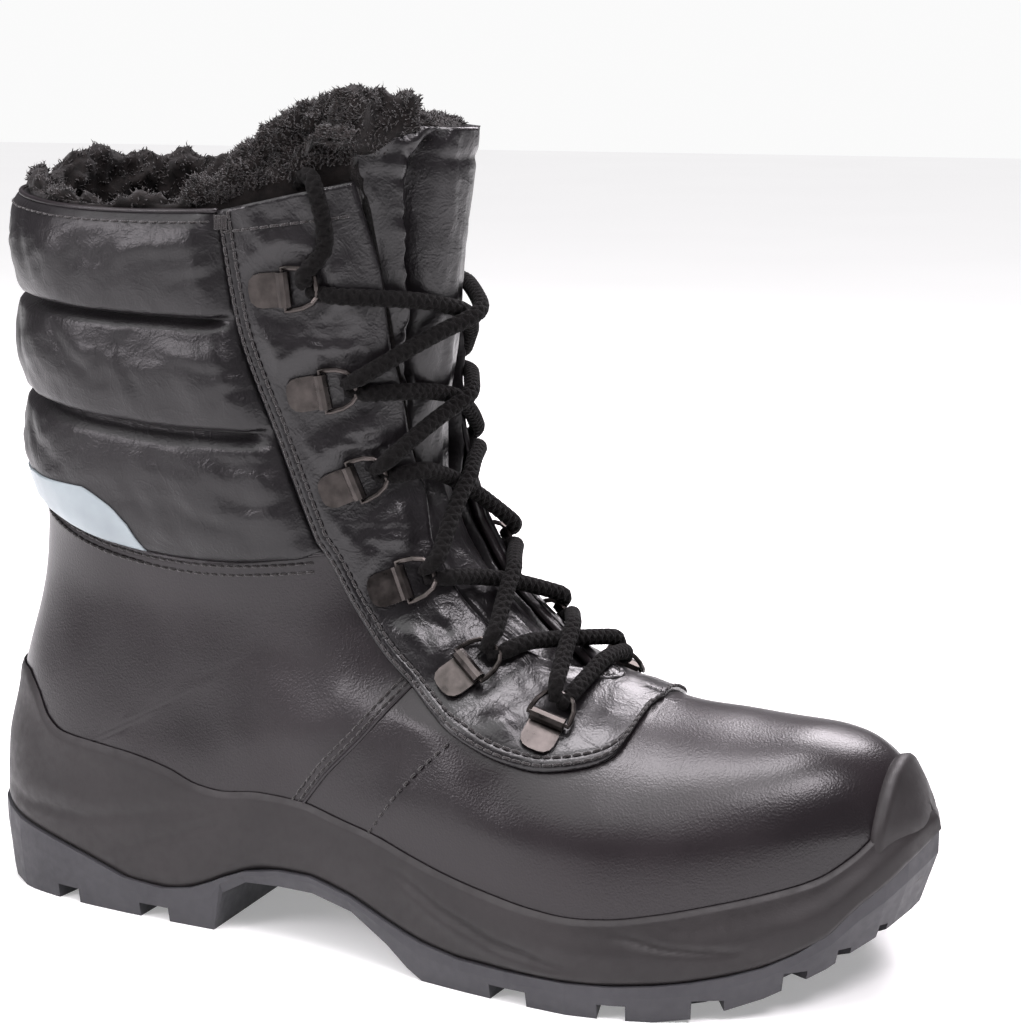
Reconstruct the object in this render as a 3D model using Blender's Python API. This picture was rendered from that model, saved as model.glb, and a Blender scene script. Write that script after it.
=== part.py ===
"""Winter safety boot, right foot: lugged outsole, moulded midsole with a toe bumper, a hollow upper with a
quilted shaft, a U-shaped lacing panel, a bellows tongue, insole, lace plates with D-rings, and the lace.

Metres, +Z up. The toe points along +X, the outer (lateral) side faces -Y, and the origin is on the floor
under the middle of the heel. Tables give lengths as shares of the sole's length from the heel end, widths as
shares of the local width, and heights as levels: 0 floor, 1 footbed, 2 top of the toe, 3 instep, 4 collar.
"""

import math

import bmesh
import bpy
import numpy as np
from mathutils import Matrix, Vector
from mathutils.bvhtree import BVHTree

# Driving sizes
SOLE_LENGTH = 0.316
BALL_WIDTH = 0.117
HEEL_WIDTH = 0.086
SHAFT_WIDTH = 0.091
FOOTBED_HEIGHT = 0.024
TOE_HEIGHT = 0.077
INSTEP_HEIGHT = 0.127
COLLAR_HEIGHT = 0.226
UPPER_WALL = 0.0024
FACING_WALL = 0.0018
PUFF_SWELL = 0.0055
BUMPER_WALL = 0.0028
LIP_WALL = 0.0015
OUTSOLE_WALL = 0.0028
LUG_DEPTH = 0.0048
NOTCH_REACH = 0.013
TONGUE_WALL = 0.0030
INSOLE_WALL = 0.0045
INSOLE_CLEARANCE = 0.0025
STRIP_WALL = 0.0005
TONGUE_PANEL = 0.0254
TONGUE_FOLD = 0.0045
TONGUE_FLAP = 0.0040
LACE_DIAMETER = 0.0048
LACE_BOW = 0.25
PLATE_LENGTH = 0.0130
PLATE_WIDTH = 0.0104
PLATE_WALL = 0.0010
RING_WIRE = 0.0016
RING_REACH = 0.0098
LACE_GAP = 0.0007
FIT_GAP = 0.0003

# Share of the sole's length from the heel end to the middle of the heel, where the origin is
HEEL_REST = 0.14

# Side profile of the last, from under the toe over the ridge and up the front of the shaft: share, level
FRONT_LINE = (
    (0.974, 0.83), (0.981, 1.11), (0.987, 1.34), (0.987, 1.49), (0.980, 1.62), (0.968, 1.75),
    (0.947, 1.87), (0.922, 1.94), (0.887, 1.98), (0.843, 1.99), (0.798, 2.01), (0.757, 2.03),
    (0.710, 2.09), (0.665, 2.18), (0.621, 2.39), (0.580, 2.66), (0.542, 3.00), (0.520, 3.18),
    (0.510, 3.38), (0.513, 3.74), (0.523, 4.09), (0.529, 4.36),
)
# Where the front line stops being the ridge of the foot and stands up as the front of the shaft
RIDGE_ROWS = slice(3, 19)
# Side profile of the heel and the back of the shaft: share, level
BACK_LINE = (
    (0.020, 0.42), (0.013, 1.11), (0.012, 1.49), (0.015, 1.75), (0.020, 1.91), (0.028, 2.06),
    (0.042, 2.34), (0.055, 2.74), (0.059, 3.01), (0.056, 3.37), (0.051, 3.71), (0.045, 4.36),
)
# Half widths of the foot: share along, lateral, medial
FOOT_WIDTHS = (
    (0.013, 0.442, 0.419), (0.077, 0.442, 0.419), (0.140, 0.453, 0.424), (0.235, 0.477, 0.407),
    (0.330, 0.479, 0.370), (0.425, 0.458, 0.330), (0.520, 0.457, 0.333), (0.615, 0.463, 0.367),
    (0.710, 0.474, 0.410), (0.789, 0.453, 0.427), (0.852, 0.419, 0.419), (0.906, 0.385, 0.393),
    (0.950, 0.359, 0.368), (0.975, 0.342, 0.342),
)
# Half widths of the shaft: level, lateral, medial
SHAFT_WIDTHS = (
    (2.06, 0.396, 0.385), (2.46, 0.396, 0.385), (2.86, 0.418, 0.407), (3.23, 0.462, 0.451),
    (3.64, 0.489, 0.478), (4.04, 0.500, 0.489), (4.36, 0.500, 0.489),
)
# Middle of the ridge across the foot: share along, share of the ball width
RIDGE_BEND = ((0.010, 0.0), (0.330, -0.009), (0.520, -0.017), (0.710, -0.009), (0.868, 0.026), (0.975, 0.051))
# Plan outline of the sole at its widest: share along, lateral, medial
OUTLINE = (
    (0.001, 0.000, 0.000), (0.007, 0.163, 0.163), (0.026, 0.314, 0.314), (0.064, 0.430, 0.419),
    (0.140, 0.500, 0.468), (0.235, 0.529, 0.455), (0.330, 0.537, 0.418), (0.425, 0.522, 0.376),
    (0.520, 0.514, 0.364), (0.615, 0.515, 0.392), (0.710, 0.526, 0.438), (0.789, 0.483, 0.462),
    (0.852, 0.410, 0.453), (0.906, 0.321, 0.410), (0.950, 0.214, 0.342), (0.982, 0.103, 0.239),
    (1.001, -0.043, 0.043),
)
# Top edge of the midsole: share, level
MIDSOLE_TOP = (
    (0.001, 1.91), (0.045, 1.91), (0.061, 1.87), (0.077, 1.80), (0.093, 1.68), (0.115, 1.61),
    (0.156, 1.58), (0.206, 1.55), (0.254, 1.49), (0.286, 1.42), (0.314, 1.40), (0.362, 1.43),
    (0.412, 1.42), (0.456, 1.37), (0.501, 1.32), (0.542, 1.25), (0.589, 1.18), (0.634, 1.13),
    (0.678, 1.09), (0.719, 1.07), (0.757, 1.08), (0.792, 1.11), (0.836, 1.16), (0.884, 1.22),
    (0.925, 1.29), (0.953, 1.40), (0.975, 1.53), (1.001, 1.60),
)
# Line where midsole and outsole meet: share, level
JUNCTION = (
    (0.001, 1.09), (0.032, 1.06), (0.077, 0.97), (0.134, 0.80), (0.187, 0.61), (0.225, 0.47),
    (0.260, 0.47), (0.292, 0.57), (0.333, 0.82), (0.377, 1.00), (0.428, 1.01), (0.474, 0.89),
    (0.520, 0.67), (0.561, 0.51), (0.605, 0.43), (0.665, 0.42), (0.722, 0.42), (0.773, 0.45),
    (0.820, 0.52), (0.865, 0.63), (0.899, 0.80), (0.939, 1.09), (0.969, 1.26), (1.001, 1.45),
)
# Underside of the outsole: share, level. The two flat stretches on the floor are heel and forefoot
UNDERSIDE = (
    (0.001, 0.30), (0.026, 0.15), (0.055, 0.03), (0.075, 0.00), (0.311, 0.00), (0.322, 0.54),
    (0.350, 0.75), (0.428, 0.79), (0.474, 0.67), (0.515, 0.36), (0.539, 0.12), (0.556, 0.00),
    (0.789, 0.00), (0.820, 0.05), (0.852, 0.16), (0.893, 0.35), (0.934, 0.58), (0.966, 0.80),
    (1.001, 1.02),
)
# Inner floor of the outsole, which the midsole stands on: share, level
CUP_FLOOR = (
    (0.000, 0.62), (0.026, 0.48), (0.075, 0.34), (0.220, 0.34), (0.260, 0.40), (0.292, 0.51), (0.311, 0.60),
    (0.322, 0.66), (0.350, 0.83), (0.400, 0.89), (0.440, 0.89), (0.474, 0.80), (0.515, 0.53), (0.556, 0.32),
    (0.600, 0.29), (0.789, 0.29), (0.852, 0.43), (0.893, 0.57), (0.934, 0.80), (0.950, 0.92),
    (0.966, 1.07), (1.001, 1.17),
)
# Stations along the sole where its sections are cut
STATIONS = (
    0.001, 0.004, 0.012, 0.026, 0.045, 0.064, 0.080, 0.093, 0.115, 0.156, 0.206, 0.254, 0.286, 0.311,
    0.322, 0.350, 0.390, 0.428, 0.474, 0.515, 0.539, 0.556, 0.600, 0.650, 0.710, 0.750, 0.789, 0.820,
    0.852, 0.880, 0.906, 0.930, 0.950, 0.968, 0.984, 0.995, 1.001,
)
# Rear seam of the lacing panel, from the ridge of the vamp to the collar: share, level
SEAM = (
    (0.735, 2.05), (0.724, 1.88), (0.697, 1.82), (0.664, 1.80), (0.627, 1.84), (0.586, 1.93),
    (0.551, 2.04), (0.518, 2.20), (0.488, 2.37), (0.456, 2.62), (0.429, 2.92), (0.406, 3.13),
    (0.384, 3.34), (0.351, 3.68), (0.337, 4.00),
)
# Ridge from the toe to the throat, then the front edge of the lacing panel up to the collar: share, level
EDGE = (
    (0.985, 1.22), (0.987, 1.30), (0.988, 1.38), (0.987, 1.49), (0.980, 1.62), (0.968, 1.75),
    (0.947, 1.87), (0.922, 1.94), (0.887, 1.98), (0.843, 1.99), (0.798, 2.01), (0.757, 2.03),
    (0.735, 2.04), (0.716, 2.08), (0.691, 2.13), (0.665, 2.18), (0.643, 2.24), (0.615, 2.33),
    (0.583, 2.46), (0.555, 2.62), (0.534, 2.80), (0.520, 2.97), (0.508, 3.13), (0.493, 3.30),
    (0.487, 3.47), (0.481, 3.60), (0.477, 3.80), (0.460, 4.09),
)
NOSE_ROW, THROAT_ROW = 5, 15
# Lines that fan over the upper from its bottom or back edge, across the seam, to the ridge or throat. Columns:
# start share, start level, row of SEAM, row of EDGE, sag as a share of the collar height, lines to the next
# row. A start share of None lies on the back line, and a seam row of None has no lacing panel over it.
FAN = (
    (0.985, 1.22, None, 0.0, 0.0, 1), (0.972, 1.17, None, 2.0, 0.0, 1), (0.960, 1.12, None, 4.0, 0.0, 1),
    (0.948, 1.06, None, 5.6, 0.0, 1), (0.919, 0.86, None, 7.0, 0.0, 1), (0.880, 0.71, None, 8.0, 0.0, 1),
    (0.836, 0.66, None, 9.0, 0.0, 1), (0.786, 0.64, None, 10.0, 0.0, 1), (0.733, 0.63, 0.0, 12.0, 0.0, 1),
    (0.703, 0.63, 1.0, 13.0, 0.0, 1), (0.676, 0.63, 2.0, 14.0, 0.0, 1), (0.645, 0.64, 3.0, 15.0, 0.0, 1),
    (0.605, 0.67, 4.0, 16.0, 0.0, 4), (0.395, 1.02, 8.0, 20.0, 0.0, 5), (0.085, 1.03, 9.1, 21.1, 0.0, 1),
    (0.035, 1.03, 9.2, 21.2, 0.0, 1), (None, 1.04, 9.3, 21.3, 0.0, 2), (None, 1.70, 9.55, 21.55, 0.014, 3),
    (None, 3.09, 10.0, 22.0, 0.042, 5), (None, 3.43, 12.0, 23.6, 0.014, 5), (None, 3.735, 13.0, 25.4, 0.007, 5),
    (None, 4.04, 14.0, 27.0, 0.010, 0),
)
COUNTER_ROW, BUMPER_LINES, CUTTER_ROW = 18, 3, 18
LINES_PER_PUFF = 5
SEAM_COLUMN, EDGE_COLUMN = 8, 11
# Notches between the side lugs, the same on both sides: share along, width as a share of the sole's length,
# share of the lugs' depth
NOTCHES = (
    (0.132, 0.028, 1.0), (0.241, 0.035, 1.0), (0.650, 0.038, 1.0), (0.751, 0.026, 1.0), (0.835, 0.030, 1.0),
    (0.906, 0.024, 0.9), (0.944, 0.016, 0.75), (0.974, 0.013, 0.75),
)
# Grooves across the tread between the side lugs: share along
CROSS_GROOVES = (0.241, 0.600, 0.650, 0.700, 0.751, 0.793)
# Tongue, at levels up the front of the boot: level, how far its middle lies behind the front line as a share of
# the shaft's width, share of its folds' depth, share of its full width
TONGUE = (
    (2.07, 0.042, 0.0, 0.55), (2.12, 0.045, 0.0, 0.80), (2.18, 0.049, 0.0, 1.0), (2.26, 0.053, 0.1, 1.0),
    (2.40, 0.060, 0.4, 1.0), (2.60, 0.068, 0.8, 1.0), (2.85, 0.080, 1.0, 1.0), (3.05, 0.086, 1.0, 1.0),
    (3.20, 0.078, 1.0, 1.0), (3.40, 0.045, 1.0, 1.0), (3.60, 0.020, 1.0, 1.0), (3.80, 0.006, 1.0, 1.0),
    (3.97, 0.001, 1.0, 0.97), (4.10, 0.0, 0.9, 0.92), (4.18, 0.0, 0.8, 0.84), (4.24, 0.001, 0.7, 0.68),
)
# Lace plates, from the toe upwards, and the ring of each: share and level of the plate, then of the ring
LACE_PLATES = (
    (0.655, 1.95, 0.658, 2.09), (0.564, 2.21, 0.583, 2.31), (0.490, 2.73, 0.515, 2.79),
    (0.443, 3.17, 0.470, 3.21), (0.417, 3.46, 0.449, 3.48), (0.387, 3.77, 0.420, 3.78),
)

# Free end of the lace on the outer side: share, level, and how far it has gone through the wall, 0 to 1
LACE_END = (
    (0.436, 3.89, 0.0), (0.434, 3.99, 0.0), (0.430, 4.05, 0.0), (0.428, 4.082, 0.08), (0.426, 4.106, 0.27),
    (0.422, 4.115, 0.5), (0.417, 4.106, 0.74), (0.412, 4.080, 0.93), (0.404, 4.03, 1.0), (0.394, 3.95, 1.0),
    (0.384, 3.84, 1.0), (0.374, 3.73, 1.0),
)
# Side outline of the reflective strip above the counter's seam: share, level
STRIP_EDGE = (
    (-0.08, 2.5), (-0.08, 3.165), (0.108, 3.155), (0.186, 3.131), (0.205, 3.105), (0.217, 3.068), (0.230, 2.98),
    (0.240, 2.88), (0.240, 2.5),
)

RUBBER_GREY = (0.085, 0.085, 0.095)
MOULDED_BLACK = (0.022, 0.020, 0.020)
LEATHER_BLACK = (0.020, 0.018, 0.019)
SOFT_BLACK = (0.012, 0.011, 0.012)
GUNMETAL = (0.20, 0.18, 0.18)
LACE_BLACK = (0.012, 0.011, 0.011)
STRIP_GREY = (0.45, 0.53, 0.56)
FELT_DARK = (0.03, 0.028, 0.027)


def curve(value, keys, values):
    """Smooth curve through the table that never swings past its points."""
    keys, values = np.asarray(keys, float), np.asarray(values, float)
    steps = np.diff(keys)
    slopes = np.diff(values) / steps
    tangents = np.zeros(len(keys))
    tangents[0], tangents[-1] = slopes[0], slopes[-1]
    for i in range(1, len(keys) - 1):
        if slopes[i - 1] * slopes[i] > 0:
            near = 2 * steps[i] + steps[i - 1]
            far = steps[i] + 2 * steps[i - 1]
            tangents[i] = (near + far) / (near / slopes[i - 1] + far / slopes[i])
    inside = np.clip(value, keys[0], keys[-1])
    i = np.clip(np.searchsorted(keys, inside, side="right") - 1, 0, len(steps) - 1)
    t = (inside - keys[i]) / steps[i]
    start = (1 + 2 * t) * (1 - t) ** 2 * values[i] + t * (1 - t) ** 2 * steps[i] * tangents[i]
    return start + t * t * (3 - 2 * t) * values[i + 1] + t * t * (t - 1) * steps[i] * tangents[i + 1]


def column(rows, k):
    return np.array([row[k] for row in rows], float)


def smooth(t):
    t = np.clip(t, 0, 1)
    return t * t * (3 - 2 * t)


def along(share):
    return (np.asarray(share, float) - HEEL_REST) * SOLE_LENGTH


def share_at(x):
    return np.asarray(x, float) / SOLE_LENGTH + HEEL_REST


def rise(level):
    """Height of a level above the floor."""
    above = 2 * COLLAR_HEIGHT - INSTEP_HEIGHT
    heights = (0, FOOTBED_HEIGHT, TOE_HEIGHT, INSTEP_HEIGHT, COLLAR_HEIGHT, above)
    return np.interp(level, range(len(heights)), heights)


def level_at(z):
    above = 2 * COLLAR_HEIGHT - INSTEP_HEIGHT
    heights = (0, FOOTBED_HEIGHT, TOE_HEIGHT, INSTEP_HEIGHT, COLLAR_HEIGHT, above)
    return np.interp(z, heights, range(len(heights)))


def width_at(share):
    """Full width that the half widths of the foot are shares of: the heel's, then the ball's."""
    return HEEL_WIDTH + (BALL_WIDTH - HEEL_WIDTH) * smooth((share - 0.30) / 0.38)


def front_x(z):
    return along(curve(level_at(z), column(FRONT_LINE, 1), column(FRONT_LINE, 0)))


def ridge_z(x):
    rows = FRONT_LINE[RIDGE_ROWS][::-1]
    return rise(curve(share_at(x), column(rows, 0), column(rows, 1)))


def back_x(z):
    return along(curve(level_at(z), column(BACK_LINE, 1), column(BACK_LINE, 0)))


def ridge_y(x, z):
    bend = curve(share_at(x), column(RIDGE_BEND, 0), column(RIDGE_BEND, 1)) * BALL_WIDTH
    return bend * (1 - smooth((level_at(z) - 1.87) / 1.0))


def rounding(q, power):
    """0 at an edge of the side profile, 1 where the section has its full width."""
    return (1 - (1 - np.clip(q, 0, 1)) ** power) ** (1 / power)


def face_y(x, z, side):
    """Y of the upper's outer face at a point of the side view. side is -1 lateral, +1 medial."""
    share, level = share_at(x), level_at(z)
    k = 1 if side < 0 else 2
    foot = curve(share, column(FOOT_WIDTHS, 0), column(FOOT_WIDTHS, k)) * width_at(share)
    shaft = curve(level, column(SHAFT_WIDTHS, 0), column(SHAFT_WIDTHS, k)) * SHAFT_WIDTH
    half = foot + (shaft - foot) * smooth((level - 1.40) / 1.25)
    below = np.maximum(ridge_z(x) - z, 1e-9)
    behind = np.maximum(front_x(z) - x, 1e-9)
    crown = curve(share, (0.45, 0.61, 0.77, 0.97), (0.34, 0.325, 0.34, 0.31)) * BALL_WIDTH
    prow = curve(level, (0.8, 2.0, 2.5, 3.1, 4.0), (0.237, 0.253, 0.190, 0.203, 0.234)) * SOLE_LENGTH
    lying = 1 - smooth((level - 2.7) / 0.45)
    front = 1 / np.sqrt(lying * (crown / below) ** 2 + (prow / behind) ** 2)
    tail = curve(level, (0.8, 2.5, 4.0), (0.133, 0.146, 0.158)) * SOLE_LENGTH
    back = np.maximum(x - back_x(z), 0) / tail
    return ridge_y(x, z) + side * half * rounding(front, 2.1) * rounding(back, 2.0)


def face_point(share, level, side):
    x, z = float(along(share)), float(rise(level))
    return np.array((x, float(face_y(x, z, side)), z))


def face_normal(share, level, side):
    step = 0.001
    x, z = float(along(share)), float(rise(level))
    by_x = np.array((2 * step, float(face_y(x + step, z, side) - face_y(x - step, z, side)), 0))
    by_z = np.array((0, float(face_y(x, z + step, side) - face_y(x, z - step, side)), 2 * step))
    normal = np.cross(by_x, by_z) * -side
    return normal / np.linalg.norm(normal)


def fan_lines():
    """Every fan line, its columns worked out between the rows of FAN, as (start, seam, end, sag) of (x, z)."""
    seam_rows, edge_rows = range(len(SEAM)), range(len(EDGE))
    lines = []
    for row, after in zip(FAN, FAN[1:] + FAN[-1:]):
        for step in range(max(row[5], 1)):
            t = step / max(row[5], 1)
            mixed = [None if a is None or b is None else a + (b - a) * t for a, b in zip(row, after)]
            level = mixed[1]
            z = float(rise(level))
            x = float(back_x(z)) if row[0] is None else float(along(row[0] if t == 0 else mixed[0]))
            edge = mixed[3]
            end_x = float(along(curve(edge, edge_rows, column(EDGE, 0))))
            end_z = float(rise(curve(edge, edge_rows, column(EDGE, 1))))
            if edge <= NOSE_ROW:
                end_x = float(front_x(end_z))
            elif edge <= THROAT_ROW:
                end_z = float(ridge_z(end_x))
            if edge == 0:
                x, z = end_x, end_z
            seam_row = row[2] if t == 0 else mixed[2]
            if seam_row is None:
                part = 0.7 + 0.3 * float(smooth((edge - 4) / 8))
                seam_x, seam_z = x + (end_x - x) * part, z + (end_z - z) * part
            elif seam_row == 0:
                seam_x, seam_z = end_x, end_z
            else:
                seam_x = float(along(curve(seam_row, seam_rows, column(SEAM, 0))))
                seam_z = float(rise(curve(seam_row, seam_rows, column(SEAM, 1))))
            lines.append(((x, z), (seam_x, seam_z), (end_x, end_z), mixed[4] * COLLAR_HEIGHT, edge, row[0]))
    return lines


def line_points(line):
    """Side-view points of one fan line, closer together where the section turns round."""
    start, seam, end, sag, edge, start_share = line
    points = []
    for j in range(SEAM_COLUMN + 1):
        t = j / SEAM_COLUMN
        if start_share is None:
            t = 1 - math.cos(t * math.pi / 2)
        elif edge < 12:
            t = math.sin(t * math.pi / 2 * 0.75) / math.sin(math.pi / 2 * 0.75)
        drop = sag * math.sin(math.pi * t)
        points.append((start[0] + (seam[0] - start[0]) * t, start[1] + (seam[1] - start[1]) * t - drop))
    for j in range(1, EDGE_COLUMN - SEAM_COLUMN + 1):
        t = j / (EDGE_COLUMN - SEAM_COLUMN)
        if edge <= THROAT_ROW:
            t = math.sin(t * math.pi / 2)
        points.append((seam[0] + (end[0] - seam[0]) * t, seam[1] + (end[1] - seam[1]) * t))
    return points


def first_line(fan_row):
    return sum(max(row[5], 1) for row in FAN[:fan_row])


def skin():
    """The upper's outer face without puffs: points and normals as [side, line, column, xyz]."""
    lines = fan_lines()
    points = np.zeros((2, len(lines), EDGE_COLUMN + 1, 3))
    for i, line in enumerate(lines):
        for j, (x, z) in enumerate(line_points(line)):
            for k, side in enumerate((-1, 1)):
                on_back = line[5] is None and j == 0
                on_ridge = line[4] <= THROAT_ROW and j == EDGE_COLUMN or i == 0
                on_ridge = on_ridge or (i == first_line(8) and j >= SEAM_COLUMN)
                y = float(ridge_y(x, z)) if on_back or on_ridge else float(face_y(x, z, side))
                points[k, i, j] = (x, y, z)
    keys = np.round(points.reshape(-1, 3) * 1e7).astype(np.int64)
    _, index = np.unique(keys, axis=0, return_inverse=True)
    index = index.reshape(points.shape[:3])
    normals = np.zeros((index.max() + 1, 3))
    for k, turn in enumerate((-1, 1)):
        a, b = points[k, :-1, :-1], points[k, 1:, :-1]
        c, d = points[k, 1:, 1:], points[k, :-1, 1:]
        faces = np.cross(c - a, d - b) * turn
        for corner in (index[k, :-1, :-1], index[k, 1:, :-1], index[k, 1:, 1:], index[k, :-1, 1:]):
            np.add.at(normals, corner.reshape(-1), faces.reshape(-1, 3))
    normals /= np.linalg.norm(normals, axis=1, keepdims=True)
    return points, normals[index]


def puffs(points):
    """Outward swell of the three quilted puffs at each point of the skin."""
    swell = np.zeros(points.shape[:3])
    first = first_line(COUNTER_ROW)
    for i in range(first, points.shape[1]):
        across = ((i - first) % LINES_PER_PUFF) / LINES_PER_PUFF
        for j in range(SEAM_COLUMN):
            to_seam = np.linalg.norm(points[0, i, SEAM_COLUMN] - points[0, i, j])
            swell[:, i, j] = PUFF_SWELL * math.sqrt(math.sin(math.pi * across)) * smooth(to_seam / 0.014)
    return swell


def new_material(name, colour, roughness, metallic=0.0):
    material = bpy.data.materials.new(name)
    material.use_nodes = True
    shader = material.node_tree.nodes["Principled BSDF"]
    shader.inputs["Base Color"].default_value = (*colour, 1)
    shader.inputs["Roughness"].default_value = roughness
    shader.inputs["Metallic"].default_value = metallic
    return material


def make_object(name, mesh, collection, colour=MOULDED_BLACK, roughness=0.6, metallic=0.0):
    """A mesh object of this name with its own material, smooth but for sharp edges."""
    obj = bpy.data.objects.new(name, mesh)
    obj.data.materials.append(new_material(name, colour, roughness, metallic))
    mesh.shade_smooth()
    mesh.set_sharp_from_angle(angle=math.radians(40))
    collection.objects.link(obj)
    return obj


def solid_mesh(name, points, faces):
    """Closed mesh from points and faces: doubles welded, faces that collapsed dropped, normals outwards."""
    mesh = bpy.data.meshes.new(name)
    mesh.from_pydata([tuple(p) for p in points], [], faces)
    bm = bmesh.new()
    bm.from_mesh(mesh)
    bmesh.ops.remove_doubles(bm, verts=bm.verts, dist=1e-6)
    bmesh.ops.dissolve_degenerate(bm, edges=bm.edges, dist=1e-7)
    bmesh.ops.triangulate(bm, faces=bm.faces, quad_method="FIXED")
    bmesh.ops.recalc_face_normals(bm, faces=bm.faces)
    if bm.calc_volume(signed=True) < 0:
        bmesh.ops.reverse_faces(bm, faces=bm.faces)
    bm.to_mesh(mesh)
    bm.free()
    return mesh


def cutter_object(name, mesh):
    obj = bpy.data.objects.new(name, mesh)
    cutters.objects.link(obj)
    obj.hide_render = True
    obj.display_type = "WIRE"
    return obj


def boolean(obj, other, operation):
    modifier = obj.modifiers.new(other.name, "BOOLEAN")
    modifier.operation = operation
    modifier.solver = "EXACT"
    modifier.object = other


def grid_quads(rows, columns, start=0):
    """Quads of a grid of points numbered row by row from start."""
    quads = []
    for i in range(rows - 1):
        for j in range(columns - 1):
            a = start + i * columns + j
            quads.append((a, a + columns, a + columns + 1, a + 1))
    return quads


def shell_mesh(name, inner, outer):
    """Closed shell between two [side, line, column] grids, with a rim wherever the sides don't meet."""
    sides, rows, columns = inner.shape[:3]
    count = rows * columns
    points, faces = [], []
    for k in range(sides):
        base = len(points)
        points += list(inner[k].reshape(-1, 3)) + list(outer[k].reshape(-1, 3))
        faces += grid_quads(rows, columns, base) + grid_quads(rows, columns, base + count)
        index = np.arange(count).reshape(rows, columns)
        for a, b in border(index):
            if not (meets(outer, a) and meets(outer, b)):
                faces.append((base + a, base + b, base + b + count, base + a + count))
    keep = [face for face in faces if distinct_corners(points, face) > 2]
    return solid_mesh(name, points, keep)


def border(index):
    """Pairs of neighbouring points all the way round the edge of a numbered grid."""
    pairs = []
    for line in (index[0], index[-1], index[:, 0], index[:, -1]):
        pairs += list(zip(line[:-1], line[1:]))
    return pairs


def meets(grid, flat):
    """Whether both sides of the grid share the point with this number."""
    i, j = divmod(int(flat), grid.shape[2])
    return bool(len(grid) == 2 and np.linalg.norm(grid[0, i, j] - grid[1, i, j]) < 1e-7)


def distinct_corners(points, face):
    return len({tuple(np.round(points[c], 7)) for c in face})


def make_upper(points, normals, swell):
    outer = points + normals * swell[..., None]
    inner = points - normals * UPPER_WALL
    return make_object("upper", shell_mesh("upper", inner, outer), boot, LEATHER_BLACK, 0.38)


def make_facing(points, normals):
    """The U-shaped lacing panel, laid over the front of the shaft and the instep."""
    first = first_line(8)
    part, out = points[:, first:, SEAM_COLUMN:], normals[:, first:, SEAM_COLUMN:]
    mesh = shell_mesh("facing", part + out * FIT_GAP, part + out * (FIT_GAP + FACING_WALL))
    return make_object("facing", mesh, boot, SOFT_BLACK, 0.32)


def outline_ring(shares, inset):
    """Plan points of the sole's outline at these shares, moved inwards along its normal: [side, k, xy]."""
    ring = np.zeros((2, len(shares), 2))
    for k, side in enumerate((-1, 1)):
        rows = np.arange(len(OUTLINE))
        place = np.interp(shares, column(OUTLINE, 0), rows)
        fine = np.linspace(0, len(OUTLINE) - 1, 40 * len(OUTLINE))
        share = curve(fine, rows, column(OUTLINE, 0))
        half = curve(fine, rows, column(OUTLINE, 1 + k)) * width_at(share)
        xy = np.stack([along(share), side * half], axis=1)
        tangent = np.gradient(xy, axis=0)
        # At the two ends the outline crosses the middle line square
        tangent[0], tangent[-1] = (0, side), (0, -side)
        normal = np.stack([-tangent[:, 1], tangent[:, 0]], axis=1) * side
        normal /= np.linalg.norm(normal, axis=1, keepdims=True)
        moved = xy - normal * np.interp(fine, place, np.broadcast_to(inset, len(shares)))[:, None]
        ring[k, :, 0] = np.interp(place, fine, moved[:, 0])
        ring[k, :, 1] = np.interp(place, fine, moved[:, 1])
    return ring


def face_ring(stations, z, outset):
    """Plan points of the upper's face at the height z of each station, moved outwards: [side, k, xy]."""
    ring = np.zeros((2, len(stations), 2))
    part = (stations - stations[0]) / (stations[-1] - stations[0])
    for k, side in enumerate((-1, 1)):
        for i, (c, height) in enumerate(zip(part, z)):
            low, high = float(back_x(height)), float(front_x(height))
            near = np.clip(np.array((c - 0.004, c, c + 0.004)), 0, 1)
            x = low + (high - low) * near
            y = face_y(x, np.full(3, height), side)
            tangent = np.array((x[2] - x[0], y[2] - y[0]))
            if c in (0.0, 1.0):
                tangent = np.array((0.0, side if c == 0.0 else -side))
            normal = np.array((-tangent[1], tangent[0])) * side
            normal /= np.linalg.norm(normal)
            ring[k, i] = (x[1] + normal[0] * outset, y[1] + normal[1] * outset)
        for i in (0, -1):
            ring[k, i, 1] = float(ridge_y(ring[k, i, 0], z[i]))
    return ring


def loft_mesh(name, rings):
    """Closed loft through rings given as ([side, k, xy], z per station). First and last ring are capped."""
    points, faces = [], []
    count = len(rings[0][1])
    for xy, z in rings:
        for k in range(2):
            points += [(xy[k, i, 0], xy[k, i, 1], z[i]) for i in range(count)]
    stride = 2 * count
    for level in range(len(rings) - 1):
        for k in range(2):
            for i in range(count - 1):
                a = level * stride + k * count + i
                faces.append((a, a + 1, a + 1 + stride, a + stride))
    for level in (0, len(rings) - 1):
        for i in range(count - 1):
            a = level * stride + i
            faces.append((a, a + 1, a + 1 + count, a + count))
    keep = [face for face in faces if distinct_corners(points, face) > 2]
    return solid_mesh(name, points, keep)


def profile(rows, shares):
    return rise(curve(shares, column(rows, 0), column(rows, 1)))


def cup_floor(shares):
    """Height of the outsole's inner floor, always a little under its rim."""
    return np.minimum(profile(CUP_FLOOR, shares), profile(JUNCTION, shares) - 0.0012)


def tuck_at(shares):
    """How far the outsole's side leans in at the bottom, more where the toe turns up."""
    return 0.0015 + 0.0035 * smooth((shares - 0.88) / 0.12)


def cup_rings(shares, clear):
    """Plan rings of the outsole's inner wall, at its rim and at its floor, this much clear of it inwards."""
    wall = OUTSOLE_WALL * (1 - 0.3 * smooth((shares - 0.88) / 0.12)) + clear
    return outline_ring(shares, wall), outline_ring(shares, wall + 0.5 * tuck_at(shares))


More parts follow.
